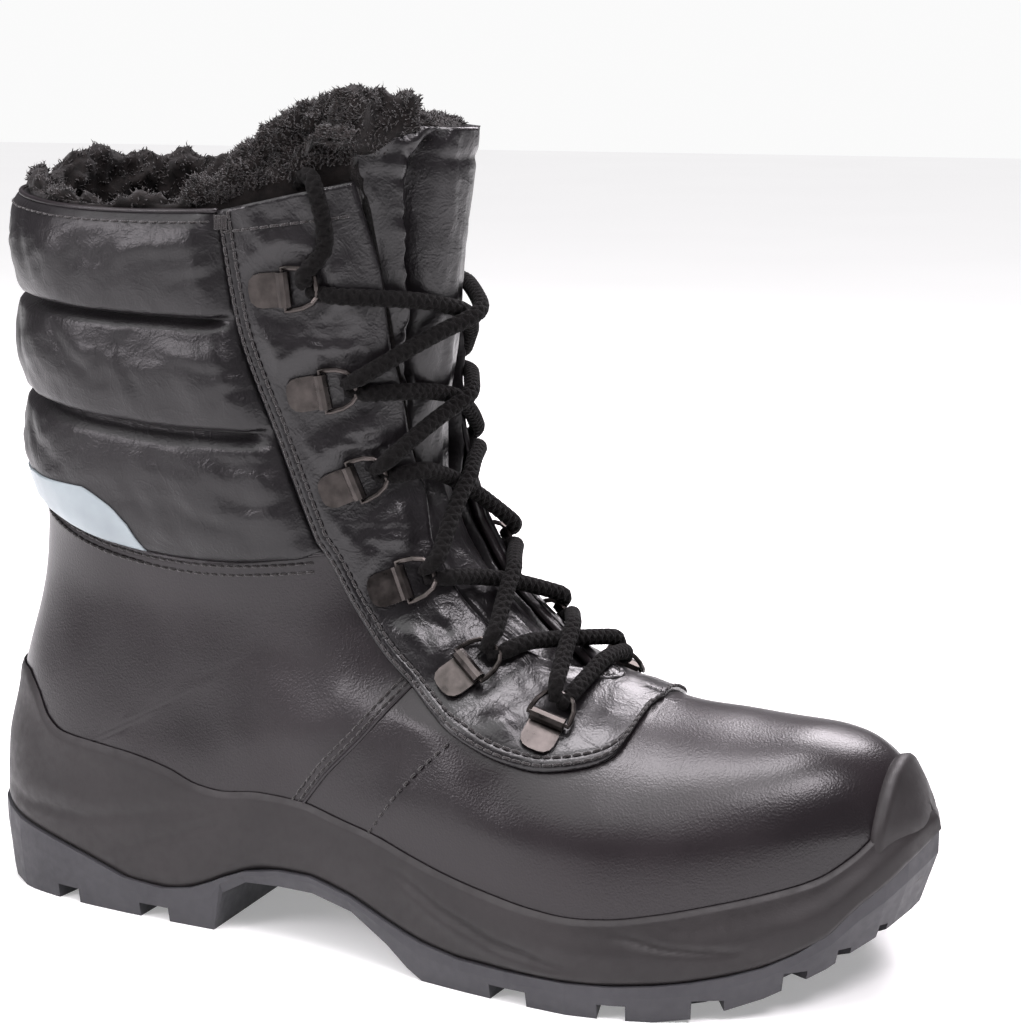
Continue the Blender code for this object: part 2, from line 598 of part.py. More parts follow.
def make_outsole():
    shares = np.array(STATIONS)
    bottom, top, floor = profile(UNDERSIDE, shares), profile(JUNCTION, shares), cup_floor(shares)
    under, wide = outline_ring(shares, tuck_at(shares)), outline_ring(shares, 0.0)
    inside, deep = cup_rings(shares, 0.0)
    rings = [(under, bottom), (wide, bottom + (top - bottom) * 0.7), (wide, top), (inside, top), (deep, floor)]
    outsole = make_object("outsole", loft_mesh("outsole", rings), boot, RUBBER_GREY, 0.7)
    boolean(outsole, notch_cutter(), "DIFFERENCE")
    boolean(outsole, groove_cutter(), "DIFFERENCE")
    return outsole


def box_in(bm, centre, axis, size):
    """Box of this size whose length lies along axis, level across."""
    turn = Vector(axis).to_track_quat("X", "Z").to_matrix().to_4x4()
    bmesh.ops.create_cube(bm, size=1.0, matrix=Matrix.Translation(centre) @ turn @ Matrix.Diagonal((*size, 1)))


def notch_cutter():
    """Notches between the side lugs, sloping with the underside where the toe turns up."""
    bm = bmesh.new()
    clear = 0.006
    for share, width, depth in NOTCHES:
        ring, inner = (outline_ring(np.array([share]), inset)[:, 0] for inset in (0.0, 0.001))
        for k in range(2):
            inward = (inner[k] - ring[k]) / np.linalg.norm(inner[k] - ring[k])
            start, end = ring[k] - inward * clear, ring[k] + inward * NOTCH_REACH
            low, high = (float(profile(UNDERSIDE, np.clip(share_at(p[0]), 0.08, 1))) for p in (end, ring[k]))
            slope = (high - low) / NOTCH_REACH
            height = LUG_DEPTH + 2 * clear
            middle = (start + end) / 2
            rise_here = low + slope * np.linalg.norm(end - middle) + depth * LUG_DEPTH - height / 2
            size = (NOTCH_REACH + clear, width * SOLE_LENGTH, height)
            box_in(bm, (*middle, rise_here), (*inward, -slope), size)
    mesh = bpy.data.meshes.new("notches")
    bm.to_mesh(mesh)
    bm.free()
    return cutter_object("notches", mesh)


def groove_cutter():
    """Shallow grooves across the middle of the tread, clear of the side notches."""
    bm = bmesh.new()
    depth, clear = 0.6 * LUG_DEPTH, 0.004
    for share in CROSS_GROOVES:
        ring = outline_ring(np.array([share]), 0.022)[:, 0]
        middle = (ring[0] + ring[1]) / 2
        base = float(profile(UNDERSIDE, share))
        centre = (middle[0], middle[1], base + depth - (depth + clear) / 2)
        size = (float(np.linalg.norm(ring[1] - ring[0])), 0.016 * SOLE_LENGTH, depth + clear)
        box_in(bm, centre, (*(ring[1] - ring[0]), 0), size)
    mesh = bpy.data.meshes.new("grooves")
    bm.to_mesh(mesh)
    bm.free()
    return cutter_object("grooves", mesh)


def make_midsole(points, normals):
    """Moulded unit: a block around the foot and the toe bumper, hollowed by the upper's own form."""
    shares = np.array(STATIONS)
    low, floor, top = profile(JUNCTION, shares), cup_floor(shares), profile(MIDSOLE_TOP, shares)
    inside, deep = cup_rings(shares, 2 * FIT_GAP)
    ledge = 0.0012 * (1 - smooth((shares - 0.85) / 0.1))
    edge, belly = outline_ring(shares, ledge), outline_ring(shares, ledge - 0.0006)
    lip = face_ring(shares, top, LIP_WALL)
    swell = low + (top - low) * 0.45
    waist = (belly * 0.8 + lip * 0.2)
    rings = [
        (deep, floor + FIT_GAP), (inside, low + FIT_GAP), (edge, low + FIT_GAP),
        (waist, swell), (lip * 0.85 + belly * 0.15, low + (top - low) * 0.85), (lip, top),
    ]
    midsole = make_object("midsole", loft_mesh("midsole", rings), boot, MOULDED_BLACK, 0.62)
    boolean(midsole, bumper_form(points, normals), "UNION")
    boolean(midsole, foot_form(points, normals), "DIFFERENCE")
    return midsole


def bumper_form(points, normals):
    """The bumper over the toe, between two forms of the upper's face, cut clear of the outsole's cup."""
    part, out = points[:, :BUMPER_LINES + 1], normals[:, :BUMPER_LINES + 1]
    mesh = shell_mesh("bumper", part - out * 0.001, part + out * BUMPER_WALL)
    bumper = cutter_object("bumper", mesh)
    shares, clear = np.array(STATIONS), 2 * FIT_GAP
    low, floor = profile(JUNCTION, shares) + clear, cup_floor(shares) + clear
    around = outline_ring(shares, -2 * OUTSOLE_WALL)
    inside, deep = cup_rings(shares, clear)
    cup = loft_mesh("cup", [(around, 0 * low - 0.01), (around, low), (inside, low), (deep, floor)])
    boolean(bumper, cutter_object("cup", cup), "DIFFERENCE")
    return bumper


def foot_form(points, normals):
    """The upper's face, a fit gap larger, closed at the bottom, the throat and above the heel."""
    last = first_line(CUTTER_ROW) - 1
    grid = points[:, :last + 1] + normals[:, :last + 1] * FIT_GAP
    grid[:, :, 0, 2] -= FIT_GAP * (np.abs(points[0, :last + 1, 0, 1] - points[1, :last + 1, 0, 1]) > 1e-7)
    rows, columns = grid.shape[1:3]
    count = rows * columns
    points = list(grid.reshape(-1, 3))
    faces = grid_quads(rows, columns) + grid_quads(rows, columns, count)
    faces += [(a, b, b + count, a + count) for a, b in border(np.arange(count).reshape(rows, columns))]
    keep = [face for face in faces if distinct_corners(points, face) > 2]
    return cutter_object("foot_form", solid_mesh("foot_form", points, keep))


def make_insole(points):
    """Flat pad on the midsole's floor, inside the upper's wall."""
    starts = points[0, :first_line(16), 0]
    order = np.argsort(starts[:, 0])
    stations = 0.5 - 0.5 * np.cos(np.linspace(0, math.pi, 27))
    level = np.interp(along(0.02 + 0.94 * stations), starts[order, 0], starts[order, 2])
    ring = face_ring(stations, level + INSOLE_WALL, -(UPPER_WALL + INSOLE_CLEARANCE))
    floor = np.interp(ring[..., 0], starts[order, 0], starts[order, 2]).max(axis=0) + 2 * FIT_GAP
    mesh = loft_mesh("insole", [(ring, floor), (ring, floor + INSOLE_WALL)])
    return make_object("insole", mesh, boot, FELT_DARK, 0.9)


def front_station(level):
    """Point of the front line at this level, and its directions up along the line and into the boot."""
    z = float(rise(level))
    x = float(front_x(z))
    up = np.array((float(front_x(z + 0.001)) - float(front_x(z - 0.001)), 0, 0.002))
    up /= np.linalg.norm(up)
    return np.array((x, float(ridge_y(x, z)), z)), up, np.array((-up[2], 0, up[0]))


def throat_width(points, station, up):
    """Half width of the throat, lateral and medial, where the plane across this station cuts its edge."""
    edges = points[:, first_line(11):, EDGE_COLUMN]
    widths = []
    for k, turn in enumerate((-1, 1)):
        height = (edges[k] - station) @ up
        order = np.argsort(height)
        widths.append(float(np.interp(0, height[order], turn * (edges[k, order, 1] - station[1]))))
    return widths


def tongue_depth(station, inward, half, depth, folds, side):
    """Depth of the tongue's face behind the front line, as a table over the distance from its middle."""
    deep = np.linspace(0, 0.045, 60)
    places = station + inward * deep[:, None]
    wide = np.maximum.accumulate(side * (face_y(places[:, 0], places[:, 2], side) - station[1]))
    wide += np.arange(60) * 1e-7
    along_wide, along_deep = np.gradient(wide), np.gradient(deep)
    length = np.hypot(along_wide, along_deep)
    offset = UPPER_WALL + 4 * FIT_GAP
    hidden_wide = np.maximum.accumulate(wide - offset * along_deep / length) + np.arange(60) * 1e-7
    hidden_deep = deep + offset * along_wide / length
    joint = half - 0.001
    panel = min(TONGUE_PANEL / 2, 0.6 * joint)
    meet = float(np.interp(joint, hidden_wide, hidden_deep))
    brow = depth + 0.3 * panel * folds
    keys = (0, panel * 0.6, panel, panel + 0.3 * (joint - panel), panel + 0.68 * (joint - panel), joint)
    ease = meet - brow
    values = (
        depth, depth + 0.11 * panel * folds, brow, max(brow + TONGUE_FOLD * folds, brow + 0.4 * ease),
        brow + 0.55 * max(ease, 0) - 0.2 * TONGUE_FOLD * folds, meet,
    )
    return keys, values, hidden_wide, hidden_deep


def make_tongue(points):
    """Padded tongue: a middle panel between two folds, its edges under the upper."""
    outer = []
    for level, depth, folds, width in TONGUE:
        station, up, inward = front_station(level)
        row = []
        halves = throat_width(points, station, up)
        for k, side in enumerate((-1, 1)):
            half = max(halves[k], 0.0095)
            keys, values, hidden_wide, hidden_deep = tongue_depth(
                station, inward, half, depth * SHAFT_WIDTH, folds, side
            )
            ticks = np.interp(np.arange(0, 5.01, 0.5), range(6), keys)
            ends = half + TONGUE_FLAP * np.array((0.3, 0.65, 1.0))
            seen = curve(ticks * width, keys, values)
            beyond = np.interp(ends * width, hidden_wide, hidden_deep)
            beyond = np.where(ends * width < keys[-1], curve(ends * width, keys, values), beyond)
            hidden = level < TONGUE[3][0]
            if hidden:
                seen = np.interp(ticks * width, hidden_wide, hidden_deep) + FIT_GAP
                beyond = np.interp(ends * width, hidden_wide, hidden_deep) + FIT_GAP
            place = [
                station + inward * d + np.array((0, side * w, 0))
                for w, d in zip(np.concatenate((ticks, ends)) * width, np.concatenate((seen, beyond)))
            ]
            row = place[:0:-1] + row if k == 0 else row + place
        outer.append(row)
    outer = np.array(outer)[None]
    inwards = np.array([front_station(row[0])[2] for row in TONGUE])
    inner = outer + inwards[None, :, None] * TONGUE_WALL
    return make_object("tongue", shell_mesh("tongue", inner, outer), boot, SOFT_BLACK, 0.55)


def plate_frame(row, side, tree):
    """Matrix at the middle of a lace plate's underside: X towards its ring, Z out of the boot. The plate lies
    evenly on the panel that the tree holds."""
    share, level, ring_share, ring_level = row
    out = face_normal(share, level, side)
    place = face_point(share, level, side)
    towards = face_point(ring_share, ring_level, side) - place
    towards -= out * (towards @ out)
    towards /= np.linalg.norm(towards)
    across = np.cross(out, towards)
    spread = np.array((-0.5, -0.25, 0, 0.25, 0.5))
    for step in range(2):
        heights = np.zeros((5, 5))
        for i, u in enumerate(spread * PLATE_LENGTH):
            for j, w in enumerate(spread * PLATE_WIDTH):
                origin = place + towards * u + across * w + out * PLATE_LENGTH
                hit = tree.ray_cast(Vector(origin), Vector(-out), 2 * PLATE_LENGTH)
                heights[i, j] = PLATE_LENGTH - hit[3] if hit[3] is not None else 0
        if step == 0:
            towards = towards + out * (heights[-1].mean() - heights[0].mean()) / PLATE_LENGTH
            across = across + out * (heights[:, -1].mean() - heights[:, 0].mean()) / PLATE_WIDTH
            towards /= np.linalg.norm(towards)
            out = np.cross(towards, across)
            out /= np.linalg.norm(out)
            across = np.cross(out, towards)
    place = place + out * (heights.max() + FIT_GAP)
    frame = Matrix(np.column_stack((towards, across, out)).tolist()).to_4x4()
    frame.translation = Vector(place)
    return frame


def ring_seat():
    """Centre of the ring's bar in the plate's frame: along the plate, and above its underside."""
    bore = RING_WIRE / 2 + FIT_GAP
    return PLATE_LENGTH / 2 - bore - PLATE_WALL, PLATE_WALL + bore


def plate_mesh():
    """Flat plate whose end is folded back over the ring's bar."""
    bore = RING_WIRE / 2 + FIT_GAP
    middle, height = ring_seat()
    turns = [math.radians(a) for a in range(-90, 191, 40)]
    outer = [(middle + (bore + PLATE_WALL) * math.cos(a), height + (bore + PLATE_WALL) * math.sin(a)) for a in turns]
    inner = [(middle + bore * math.cos(a), height + bore * math.sin(a)) for a in reversed(turns)]
    rim = [(-PLATE_LENGTH / 2, 0)] + outer + inner + [(-PLATE_LENGTH / 2, PLATE_WALL)]
    bm = bmesh.new()
    corners = [bm.verts.new((x, -PLATE_WIDTH / 2, z)) for x, z in rim]
    cap = bm.faces.new(corners)
    made = bmesh.ops.extrude_face_region(bm, geom=[cap])
    moved = [v for v in made["geom"] if isinstance(v, bmesh.types.BMVert)]
    bmesh.ops.translate(bm, verts=moved, vec=(0, PLATE_WIDTH, 0))
    tail = [e for e in bm.edges if all(v.co.x < -PLATE_LENGTH * 0.49 for v in e.verts)]
    upright = [e for e in tail if abs(e.verts[0].co.y - e.verts[1].co.y) < 1e-6]
    bmesh.ops.bevel(bm, geom=upright, offset=PLATE_WIDTH * 0.36, segments=3, profile=0.5, affect="EDGES")
    bmesh.ops.recalc_face_normals(bm, faces=bm.faces)
    mesh = bpy.data.meshes.new("lace_plate")
    bm.to_mesh(mesh)
    bm.free()
    return mesh


def ring_curve():
    """D-ring: a bar through the fold of the plate and a rounded loop on one side of it."""
    half = PLATE_WIDTH / 2 + RING_WIRE / 2 + FIT_GAP
    corner = 0.42 * RING_REACH
    line = bpy.data.curves.new("d_ring", "CURVE")
    line.dimensions = "3D"
    line.bevel_depth = RING_WIRE / 2
    line.bevel_resolution = 2
    places = [(0, -half), (0, 0), (0, half), (RING_REACH - 2 * corner, half)]
    for turn in (0.45, 0.9, 1.3):
        places.append((RING_REACH - 2 * corner + 2 * corner * math.sin(turn), half * (0.3 + 0.7 * math.cos(turn))))
    places += [(RING_REACH, 0)]
    places += [(x, -y) for x, y in reversed(places[3:-1])]
    spline = line.splines.new("POLY")
    spline.points.add(len(places) - 1)
    for point, (x, y) in zip(spline.points, places):
        point.co = (x, y, 0, 1)
    spline.use_cyclic_u = True
    return line


def make_hardware(tree):
    """The lace plates with their rings, six up each side. Gives the bar's frame of each ring by side."""
    plate, ring = plate_mesh(), ring_curve()
    middle, height = ring_seat()
    frames = ([], [])
    for k, (side, word) in enumerate(((-1, "lateral"), (1, "medial"))):
        for number, row in enumerate(LACE_PLATES, 1):
            frame = plate_frame(row, side, tree)
            holder = bpy.data.objects.new(f"lace_plate_{word}_{number}", plate)
            loop = bpy.data.objects.new(f"d_ring_{word}_{number}", ring)
            holder.matrix_world = frame
            loop.matrix_world = frame @ Matrix.Translation((middle, 0, height))
            frames[k].append(loop.matrix_world.copy())
            for obj in (holder, loop):
                boot.objects.link(obj)
    for data in (plate, ring):
        data.materials.append(new_material(data.name, GUNMETAL, 0.35, 0.9))
    return frames


def tube_mesh(name, path, radius, sides=6):
    """Closed tube along a path."""
    path = [Vector(p) for p in path]
    points, faces = [], []
    for i, place in enumerate(path):
        ahead = (path[min(i + 1, len(path) - 1)] - path[max(i - 1, 0)]).normalized()
        first = ahead.cross(Vector((0.3, 0.1, 1))).normalized()
        second = ahead.cross(first)
        for j in range(sides):
            turn = 2 * math.pi * (j + 0.5) / sides
            points.append(place + radius * (first * math.cos(turn) + second * math.sin(turn)))
    for i in range(len(path) - 1):
        for j in range(sides):
            a, b = i * sides + j, i * sides + (j + 1) % sides
            faces.append((a, b, b + sides, a + sides))
    faces.append(tuple(range(sides)))
    faces.append(tuple(range(len(points) - sides, len(points))))
    return solid_mesh(name, points, faces)


def tree_of(obj):
    """Ray-cast tree of an object's mesh, its modifiers left out."""
    mesh = obj.data
    return BVHTree.FromPolygons([v.co.copy() for v in mesh.vertices], [tuple(p.vertices) for p in mesh.polygons])


def thinned(path):
    """The path without the points that hardly bend it."""
    start, end = path[0], path[-1]
    line = (end - start) / np.linalg.norm(end - start)
    away = [np.linalg.norm(p - start - line * ((p - start) @ line)) for p in path]
    worst = int(np.argmax(away))
    if away[worst] < LACE_GAP / 6:
        return [start, end]
    return thinned(path[:worst + 1])[:-1] + thinned(path[worst:])


def lace_run(start, end, trees, out, bow=0.5):
    """Taut path from start to end that rides over whatever the trees hold. out points off the tongue, and bow
    says how soon along the way it changes height, 0.5 for evenly."""
    count, reach = 45, 0.08
    radius = LACE_DIAMETER / 2 + LACE_GAP
    start, end = np.array(start), np.array(end)
    across = end - start
    beside = np.cross(out, across)
    beside /= np.linalg.norm(beside)
    ahead = np.cross(beside, out)
    ball = [(a, b) for a in np.linspace(-1, 1, 5) for b in np.linspace(-1, 1, 5) if a * a + b * b <= 1]
    bases, heights = [], []
    for i in range(count):
        t = i / (count - 1)
        place = start + across * t
        place[2] += across[2] * (0.5 - bow) * math.sin(math.pi * t)
        base = place - out * (place @ out)
        hits = []
        for tree in trees:
            for a, b in ball:
                origin = base + out * (place @ out + reach) + (beside * a + ahead * b) * radius
                hit = tree.ray_cast(Vector(origin), Vector(-out), 2 * reach)
                if hit[0] is not None:
                    hits.append(np.array(hit[0]) @ out - radius * (1 - math.sqrt(1 - 0.9 * (a * a + b * b))))
        bases.append(base)
        heights.append(max(hits) + radius if hits else -reach)
    heights[0], heights[-1] = max(heights[0], start @ out), max(heights[-1], end @ out)
    taut = list(heights)
    for i in range(1, count - 1):
        best = max(
            heights[a] + (heights[b] - heights[a]) * (i - a) / (b - a)
            for a in range(i) for b in range(i + 1, count)
        )
        taut[i] = max(heights[i], best)
    return thinned([base + out * h for base, h in zip(bases, taut)])


def ring_exit(frame, above):
    """Where a lace that leaves this ring is clear of it, towards the upper or the lower end of its bar."""
    reach = RING_REACH + RING_WIRE / 2 + LACE_DIAMETER / 2 + 2 * FIT_GAP
    shift = LACE_DIAMETER / 2 + 2 * FIT_GAP
    upright = 1 if frame.col[1].z > 0 else -1
    return np.array(frame @ Vector((reach, shift * upright * above, 0)))


def make_laces(frames, trees):
    """A bar across the lowest rings, then a crossing between each pair of rings and the next."""
    out = -front_station(LACE_PLATES[0][3])[2]
    bar = lace_run(ring_exit(frames[0][0], -1), ring_exit(frames[1][0], -1), trees, out)
    make_object("lace_bar", tube_mesh("lace_bar", bar, LACE_DIAMETER / 2), boot, LACE_BLACK, 0.8)
    for number in range(1, len(LACE_PLATES)):
        low, high = ((frames[0][i], frames[1][i]) for i in (number - 1, number))
        out = -front_station((LACE_PLATES[number - 1][3] + LACE_PLATES[number][3]) / 2)[2]
        runs = [
            lace_run(ring_exit(low[k], 1), ring_exit(high[1 - k], -1), trees, out, LACE_BOW) for k in range(2)
        ]
        name = f"lace_crossing_{number}"
        lace = make_object(name, tube_mesh(name, runs[0], LACE_DIAMETER / 2), boot, LACE_BLACK, 0.8)
        other = cutter_object(f"lace_run_{number}", tube_mesh("run", runs[1], LACE_DIAMETER / 2))
        boolean(lace, other, "UNION")


def make_lace_end():
    """The outer side's free end, from the top ring up over the collar and down inside the shaft."""
    line = bpy.data.curves.new("lace_end", "CURVE")
    line.dimensions = "3D"
    line.bevel_depth = LACE_DIAMETER / 2
    line.bevel_resolution = 2
    line.use_fill_caps = True
    line.materials.append(new_material("lace_end", LACE_BLACK, 0.8))
    spline = line.splines.new("POLY")
    spline.points.add(len(LACE_END) - 1)
    outside = FIT_GAP + FACING_WALL + 2 * FIT_GAP + LACE_DIAMETER / 2
    inside = UPPER_WALL + 2 * FIT_GAP + LACE_DIAMETER / 2
    for point, (share, level, through) in zip(spline.points, LACE_END):
        out = outside * (1 - through) - inside * through
        place = face_point(share, level, -1) + face_normal(share, min(level, 4), -1) * out
        point.co = (*place, 1)
    boot.objects.link(bpy.data.objects.new("lace_end", line))


def make_strip(points, normals, swell):
    """Reflective strip round the back, over the foot of the lowest puff."""
    first = first_line(COUNTER_ROW)
    rows, columns = slice(first, first + 4), slice(0, 7)
    part, out, lift = points[:, rows, columns], normals[:, rows, columns], swell[:, rows, columns, None]
    inner, outer = part + out * (lift + FIT_GAP), part + out * (lift + FIT_GAP + STRIP_WALL)
    strip = make_object("reflective_strip", shell_mesh("strip", inner, outer), boot, STRIP_GREY, 0.45)
    corners = [(float(along(share)), float(rise(level))) for share, level in STRIP_EDGE]
    reach = SHAFT_WIDTH
    places = [(x, side * reach, z) for side in (-1, 1) for x, z in corners]
    count = len(corners)
    faces = [tuple(range(count)), tuple(range(count, 2 * count))]
    faces += [(i, (i + 1) % count, (i + 1) % count + count, i + count) for i in range(count)]
    boolean(strip, cutter_object("strip_form", solid_mesh("strip_form", places, faces)), "INTERSECT")
    return strip


for old in list(bpy.data.objects):
    bpy.data.objects.remove(old, do_unlink=True)
boot = bpy.data.collections.new("safety_boot")
cutters = bpy.data.collections.new("cutters")
cutters.hide_render = True
for made in (boot, cutters):
    bpy.context.scene.collection.children.link(made)

skin_points, skin_normals = skin()
puff_swell = puffs(skin_points)
make_outsole()
make_midsole(skin_points, skin_normals)
upper = make_upper(skin_points, skin_normals, puff_swell)
facing = make_facing(skin_points, skin_normals)
make_insole(skin_points)
tongue = make_tongue(skin_points)
ring_frames = make_hardware(tree_of(facing))
make_laces(ring_frames, [tree_of(obj) for obj in (tongue, upper, facing)])
make_lace_end()
make_strip(skin_points, skin_normals, puff_swell)
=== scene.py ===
"""Looks of the winter safety boot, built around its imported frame. Metres, toe along +X, lateral side -Y.

Shares, levels and the fan of lines over the upper mean the same here as in the part: shares of the sole's
length from the heel end, and levels 0 floor, 1 footbed, 2 top of the toe, 3 instep, 4 collar, 5 one step above.
"""

import math

import bmesh
import bpy
import numpy as np
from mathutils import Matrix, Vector
from mathutils.bvhtree import BVHTree


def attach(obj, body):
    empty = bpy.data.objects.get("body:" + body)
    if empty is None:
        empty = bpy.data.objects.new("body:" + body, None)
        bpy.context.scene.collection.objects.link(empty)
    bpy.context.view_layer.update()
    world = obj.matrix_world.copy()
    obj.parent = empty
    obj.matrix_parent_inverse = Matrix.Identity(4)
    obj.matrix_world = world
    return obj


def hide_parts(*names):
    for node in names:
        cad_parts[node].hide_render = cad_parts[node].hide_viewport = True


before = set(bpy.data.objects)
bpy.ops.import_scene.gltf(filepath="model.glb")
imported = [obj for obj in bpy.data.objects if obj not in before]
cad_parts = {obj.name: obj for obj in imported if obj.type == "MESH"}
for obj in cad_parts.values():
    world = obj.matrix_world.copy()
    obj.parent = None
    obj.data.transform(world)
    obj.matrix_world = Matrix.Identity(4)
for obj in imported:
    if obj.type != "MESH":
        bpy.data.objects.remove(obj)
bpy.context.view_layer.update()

MM = 0.001
SOLE_LENGTH = 0.316
BALL_WIDTH = 0.117
HEEL_WIDTH = 0.086
SHAFT_WIDTH = 0.091
LEVEL_HEIGHTS = (0, 0.024, 0.077, 0.127, 0.226, 0.325)
COLLAR_HEIGHT = 0.226
HEEL_REST = 0.14
UPPER_WALL = 0.0024
FACING_WALL = 0.0018
PUFF_SWELL = 0.0055
PUFF_LINES = 30  # lines of the grid over one puff
PANEL_ROWS = (0.0013, 0.0040)  # distances of the panel's two rows of stitches from its rear edge
BETWEEN_ROWS = 0.0026
BUMPER_WALL = 0.0028
LIP_WALL = 0.0015
OUTSOLE_WALL = 0.0028
TONGUE_WALL = 0.0030
TONGUE_PANEL = 0.0254
TONGUE_FOLD = 0.0045
TONGUE_FLAP = 0.0040
LACE_RADIUS = 0.0024
LACE_GAP = 0.0004
LACE_BOW = 0.25
BRAID_PITCH = 0.0062
TIP_POINTS = 28
RING_WIRE = 0.0016
RING_REACH = 0.0098
FIT_GAP = 0.0003

FRONT_LINE = (
    (0.974, 0.83), (0.981, 1.11), (0.987, 1.34), (0.987, 1.49), (0.980, 1.62), (0.968, 1.75),
    (0.947, 1.87), (0.922, 1.94), (0.887, 1.98), (0.843, 1.99), (0.798, 2.01), (0.757, 2.03),
    (0.710, 2.09), (0.665, 2.18), (0.621, 2.39), (0.580, 2.66), (0.542, 3.00), (0.520, 3.18),
    (0.510, 3.38), (0.513, 3.74), (0.523, 4.09), (0.529, 4.36),
)
RIDGE_ROWS = slice(3, 19)
BACK_LINE = (
    (0.020, 0.42), (0.013, 1.11), (0.012, 1.49), (0.015, 1.75), (0.020, 1.91), (0.028, 2.06),
    (0.042, 2.34), (0.055, 2.74), (0.059, 3.01), (0.056, 3.37), (0.051, 3.71), (0.045, 4.36),
)
FOOT_WIDTHS = (
    (0.013, 0.442, 0.419), (0.077, 0.442, 0.419), (0.140, 0.453, 0.424), (0.235, 0.477, 0.407),
    (0.330, 0.479, 0.370), (0.425, 0.458, 0.330), (0.520, 0.457, 0.333), (0.615, 0.463, 0.367),
    (0.710, 0.474, 0.410), (0.789, 0.453, 0.427), (0.852, 0.419, 0.419), (0.906, 0.385, 0.393),
    (0.950, 0.359, 0.368), (0.975, 0.342, 0.342),
)
SHAFT_WIDTHS = (
    (2.06, 0.396, 0.385), (2.46, 0.396, 0.385), (2.86, 0.418, 0.407), (3.23, 0.462, 0.451),
    (3.64, 0.489, 0.478), (4.04, 0.500, 0.489), (4.36, 0.500, 0.489),
)
RIDGE_BEND = ((0.010, 0.0), (0.330, -0.009), (0.520, -0.017), (0.710, -0.009), (0.868, 0.026), (0.975, 0.051))
OUTLINE = (
    (0.001, 0.000, 0.000), (0.007, 0.163, 0.163), (0.026, 0.314, 0.314), (0.064, 0.430, 0.419),
    (0.140, 0.500, 0.468), (0.235, 0.529, 0.455), (0.330, 0.537, 0.418), (0.425, 0.522, 0.376),
    (0.520, 0.514, 0.364), (0.615, 0.515, 0.392), (0.710, 0.526, 0.438), (0.789, 0.483, 0.462),
    (0.852, 0.410, 0.453), (0.906, 0.321, 0.410), (0.950, 0.214, 0.342), (0.982, 0.103, 0.239),
    (1.001, -0.043, 0.043),
)
MIDSOLE_TOP = (
    (0.001, 1.91), (0.045, 1.91), (0.061, 1.87), (0.077, 1.80), (0.093, 1.68), (0.115, 1.61),
    (0.156, 1.58), (0.206, 1.55), (0.254, 1.49), (0.286, 1.42), (0.314, 1.40), (0.362, 1.43),
    (0.412, 1.42), (0.456, 1.37), (0.501, 1.32), (0.542, 1.25), (0.589, 1.18), (0.634, 1.13),
    (0.678, 1.09), (0.719, 1.07), (0.757, 1.08), (0.792, 1.11), (0.836, 1.16), (0.884, 1.22),
    (0.925, 1.29), (0.953, 1.40), (0.975, 1.53), (1.001, 1.60),
)
JUNCTION = (
    (0.001, 1.09), (0.032, 1.06), (0.077, 0.97), (0.134, 0.80), (0.187, 0.61), (0.225, 0.47),
    (0.260, 0.47), (0.292, 0.57), (0.333, 0.82), (0.377, 1.00), (0.428, 1.01), (0.474, 0.89),
    (0.520, 0.67), (0.561, 0.51), (0.605, 0.43), (0.665, 0.42), (0.722, 0.42), (0.773, 0.45),
    (0.820, 0.52), (0.865, 0.63), (0.899, 0.80), (0.939, 1.09), (0.969, 1.26), (1.001, 1.45),
)
SEAM = (
    (0.735, 2.05), (0.724, 1.88), (0.697, 1.82), (0.664, 1.80), (0.627, 1.84), (0.586, 1.93),
    (0.551, 2.04), (0.518, 2.20), (0.488, 2.37), (0.456, 2.62), (0.429, 2.92), (0.406, 3.13),
    (0.384, 3.34), (0.351, 3.68), (0.337, 4.00),
)
EDGE = (
    (0.985, 1.22), (0.987, 1.30), (0.988, 1.38), (0.987, 1.49), (0.980, 1.62), (0.968, 1.75),
    (0.947, 1.87), (0.922, 1.94), (0.887, 1.98), (0.843, 1.99), (0.798, 2.01), (0.757, 2.03),
    (0.735, 2.04), (0.716, 2.08), (0.691, 2.13), (0.665, 2.18), (0.643, 2.24), (0.615, 2.33),
    (0.583, 2.46), (0.555, 2.62), (0.534, 2.80), (0.520, 2.97), (0.508, 3.13), (0.493, 3.30),
    (0.487, 3.47), (0.481, 3.60), (0.477, 3.80), (0.460, 4.09),
)
NOSE_ROW, THROAT_ROW = 5, 15
# Fan over the upper: start share (None on the back line), start level, row of SEAM, row of EDGE, sag
FAN = (
    (0.985, 1.22, None, 0.0, 0.0), (0.972, 1.17, None, 2.0, 0.0), (0.960, 1.12, None, 4.0, 0.0),
    (0.948, 1.06, None, 5.6, 0.0), (0.919, 0.86, None, 7.0, 0.0), (0.880, 0.71, None, 8.0, 0.0),
    (0.836, 0.66, None, 9.0, 0.0), (0.786, 0.64, None, 10.0, 0.0), (0.733, 0.63, 0.0, 12.0, 0.0),
    (0.703, 0.63, 1.0, 13.0, 0.0), (0.676, 0.63, 2.0, 14.0, 0.0), (0.645, 0.64, 3.0, 15.0, 0.0),
    (0.605, 0.67, 4.0, 16.0, 0.0), (0.395, 1.02, 8.0, 20.0, 0.0), (0.085, 1.03, 9.1, 21.1, 0.0),
    (0.035, 1.03, 9.2, 21.2, 0.0), (None, 1.04, 9.3, 21.3, 0.0), (None, 1.70, 9.55, 21.55, 0.014),
    (None, 3.09, 10.0, 22.0, 0.042), (None, 3.43, 12.0, 23.6, 0.014), (None, 3.735, 13.0, 25.4, 0.007),
    (None, 4.04, 14.0, 27.0, 0.010),
)
BUMPER_PLACE, FACING_PLACE, COUNTER_PLACE, TOP_PLACE = 3, 8, 18, 21
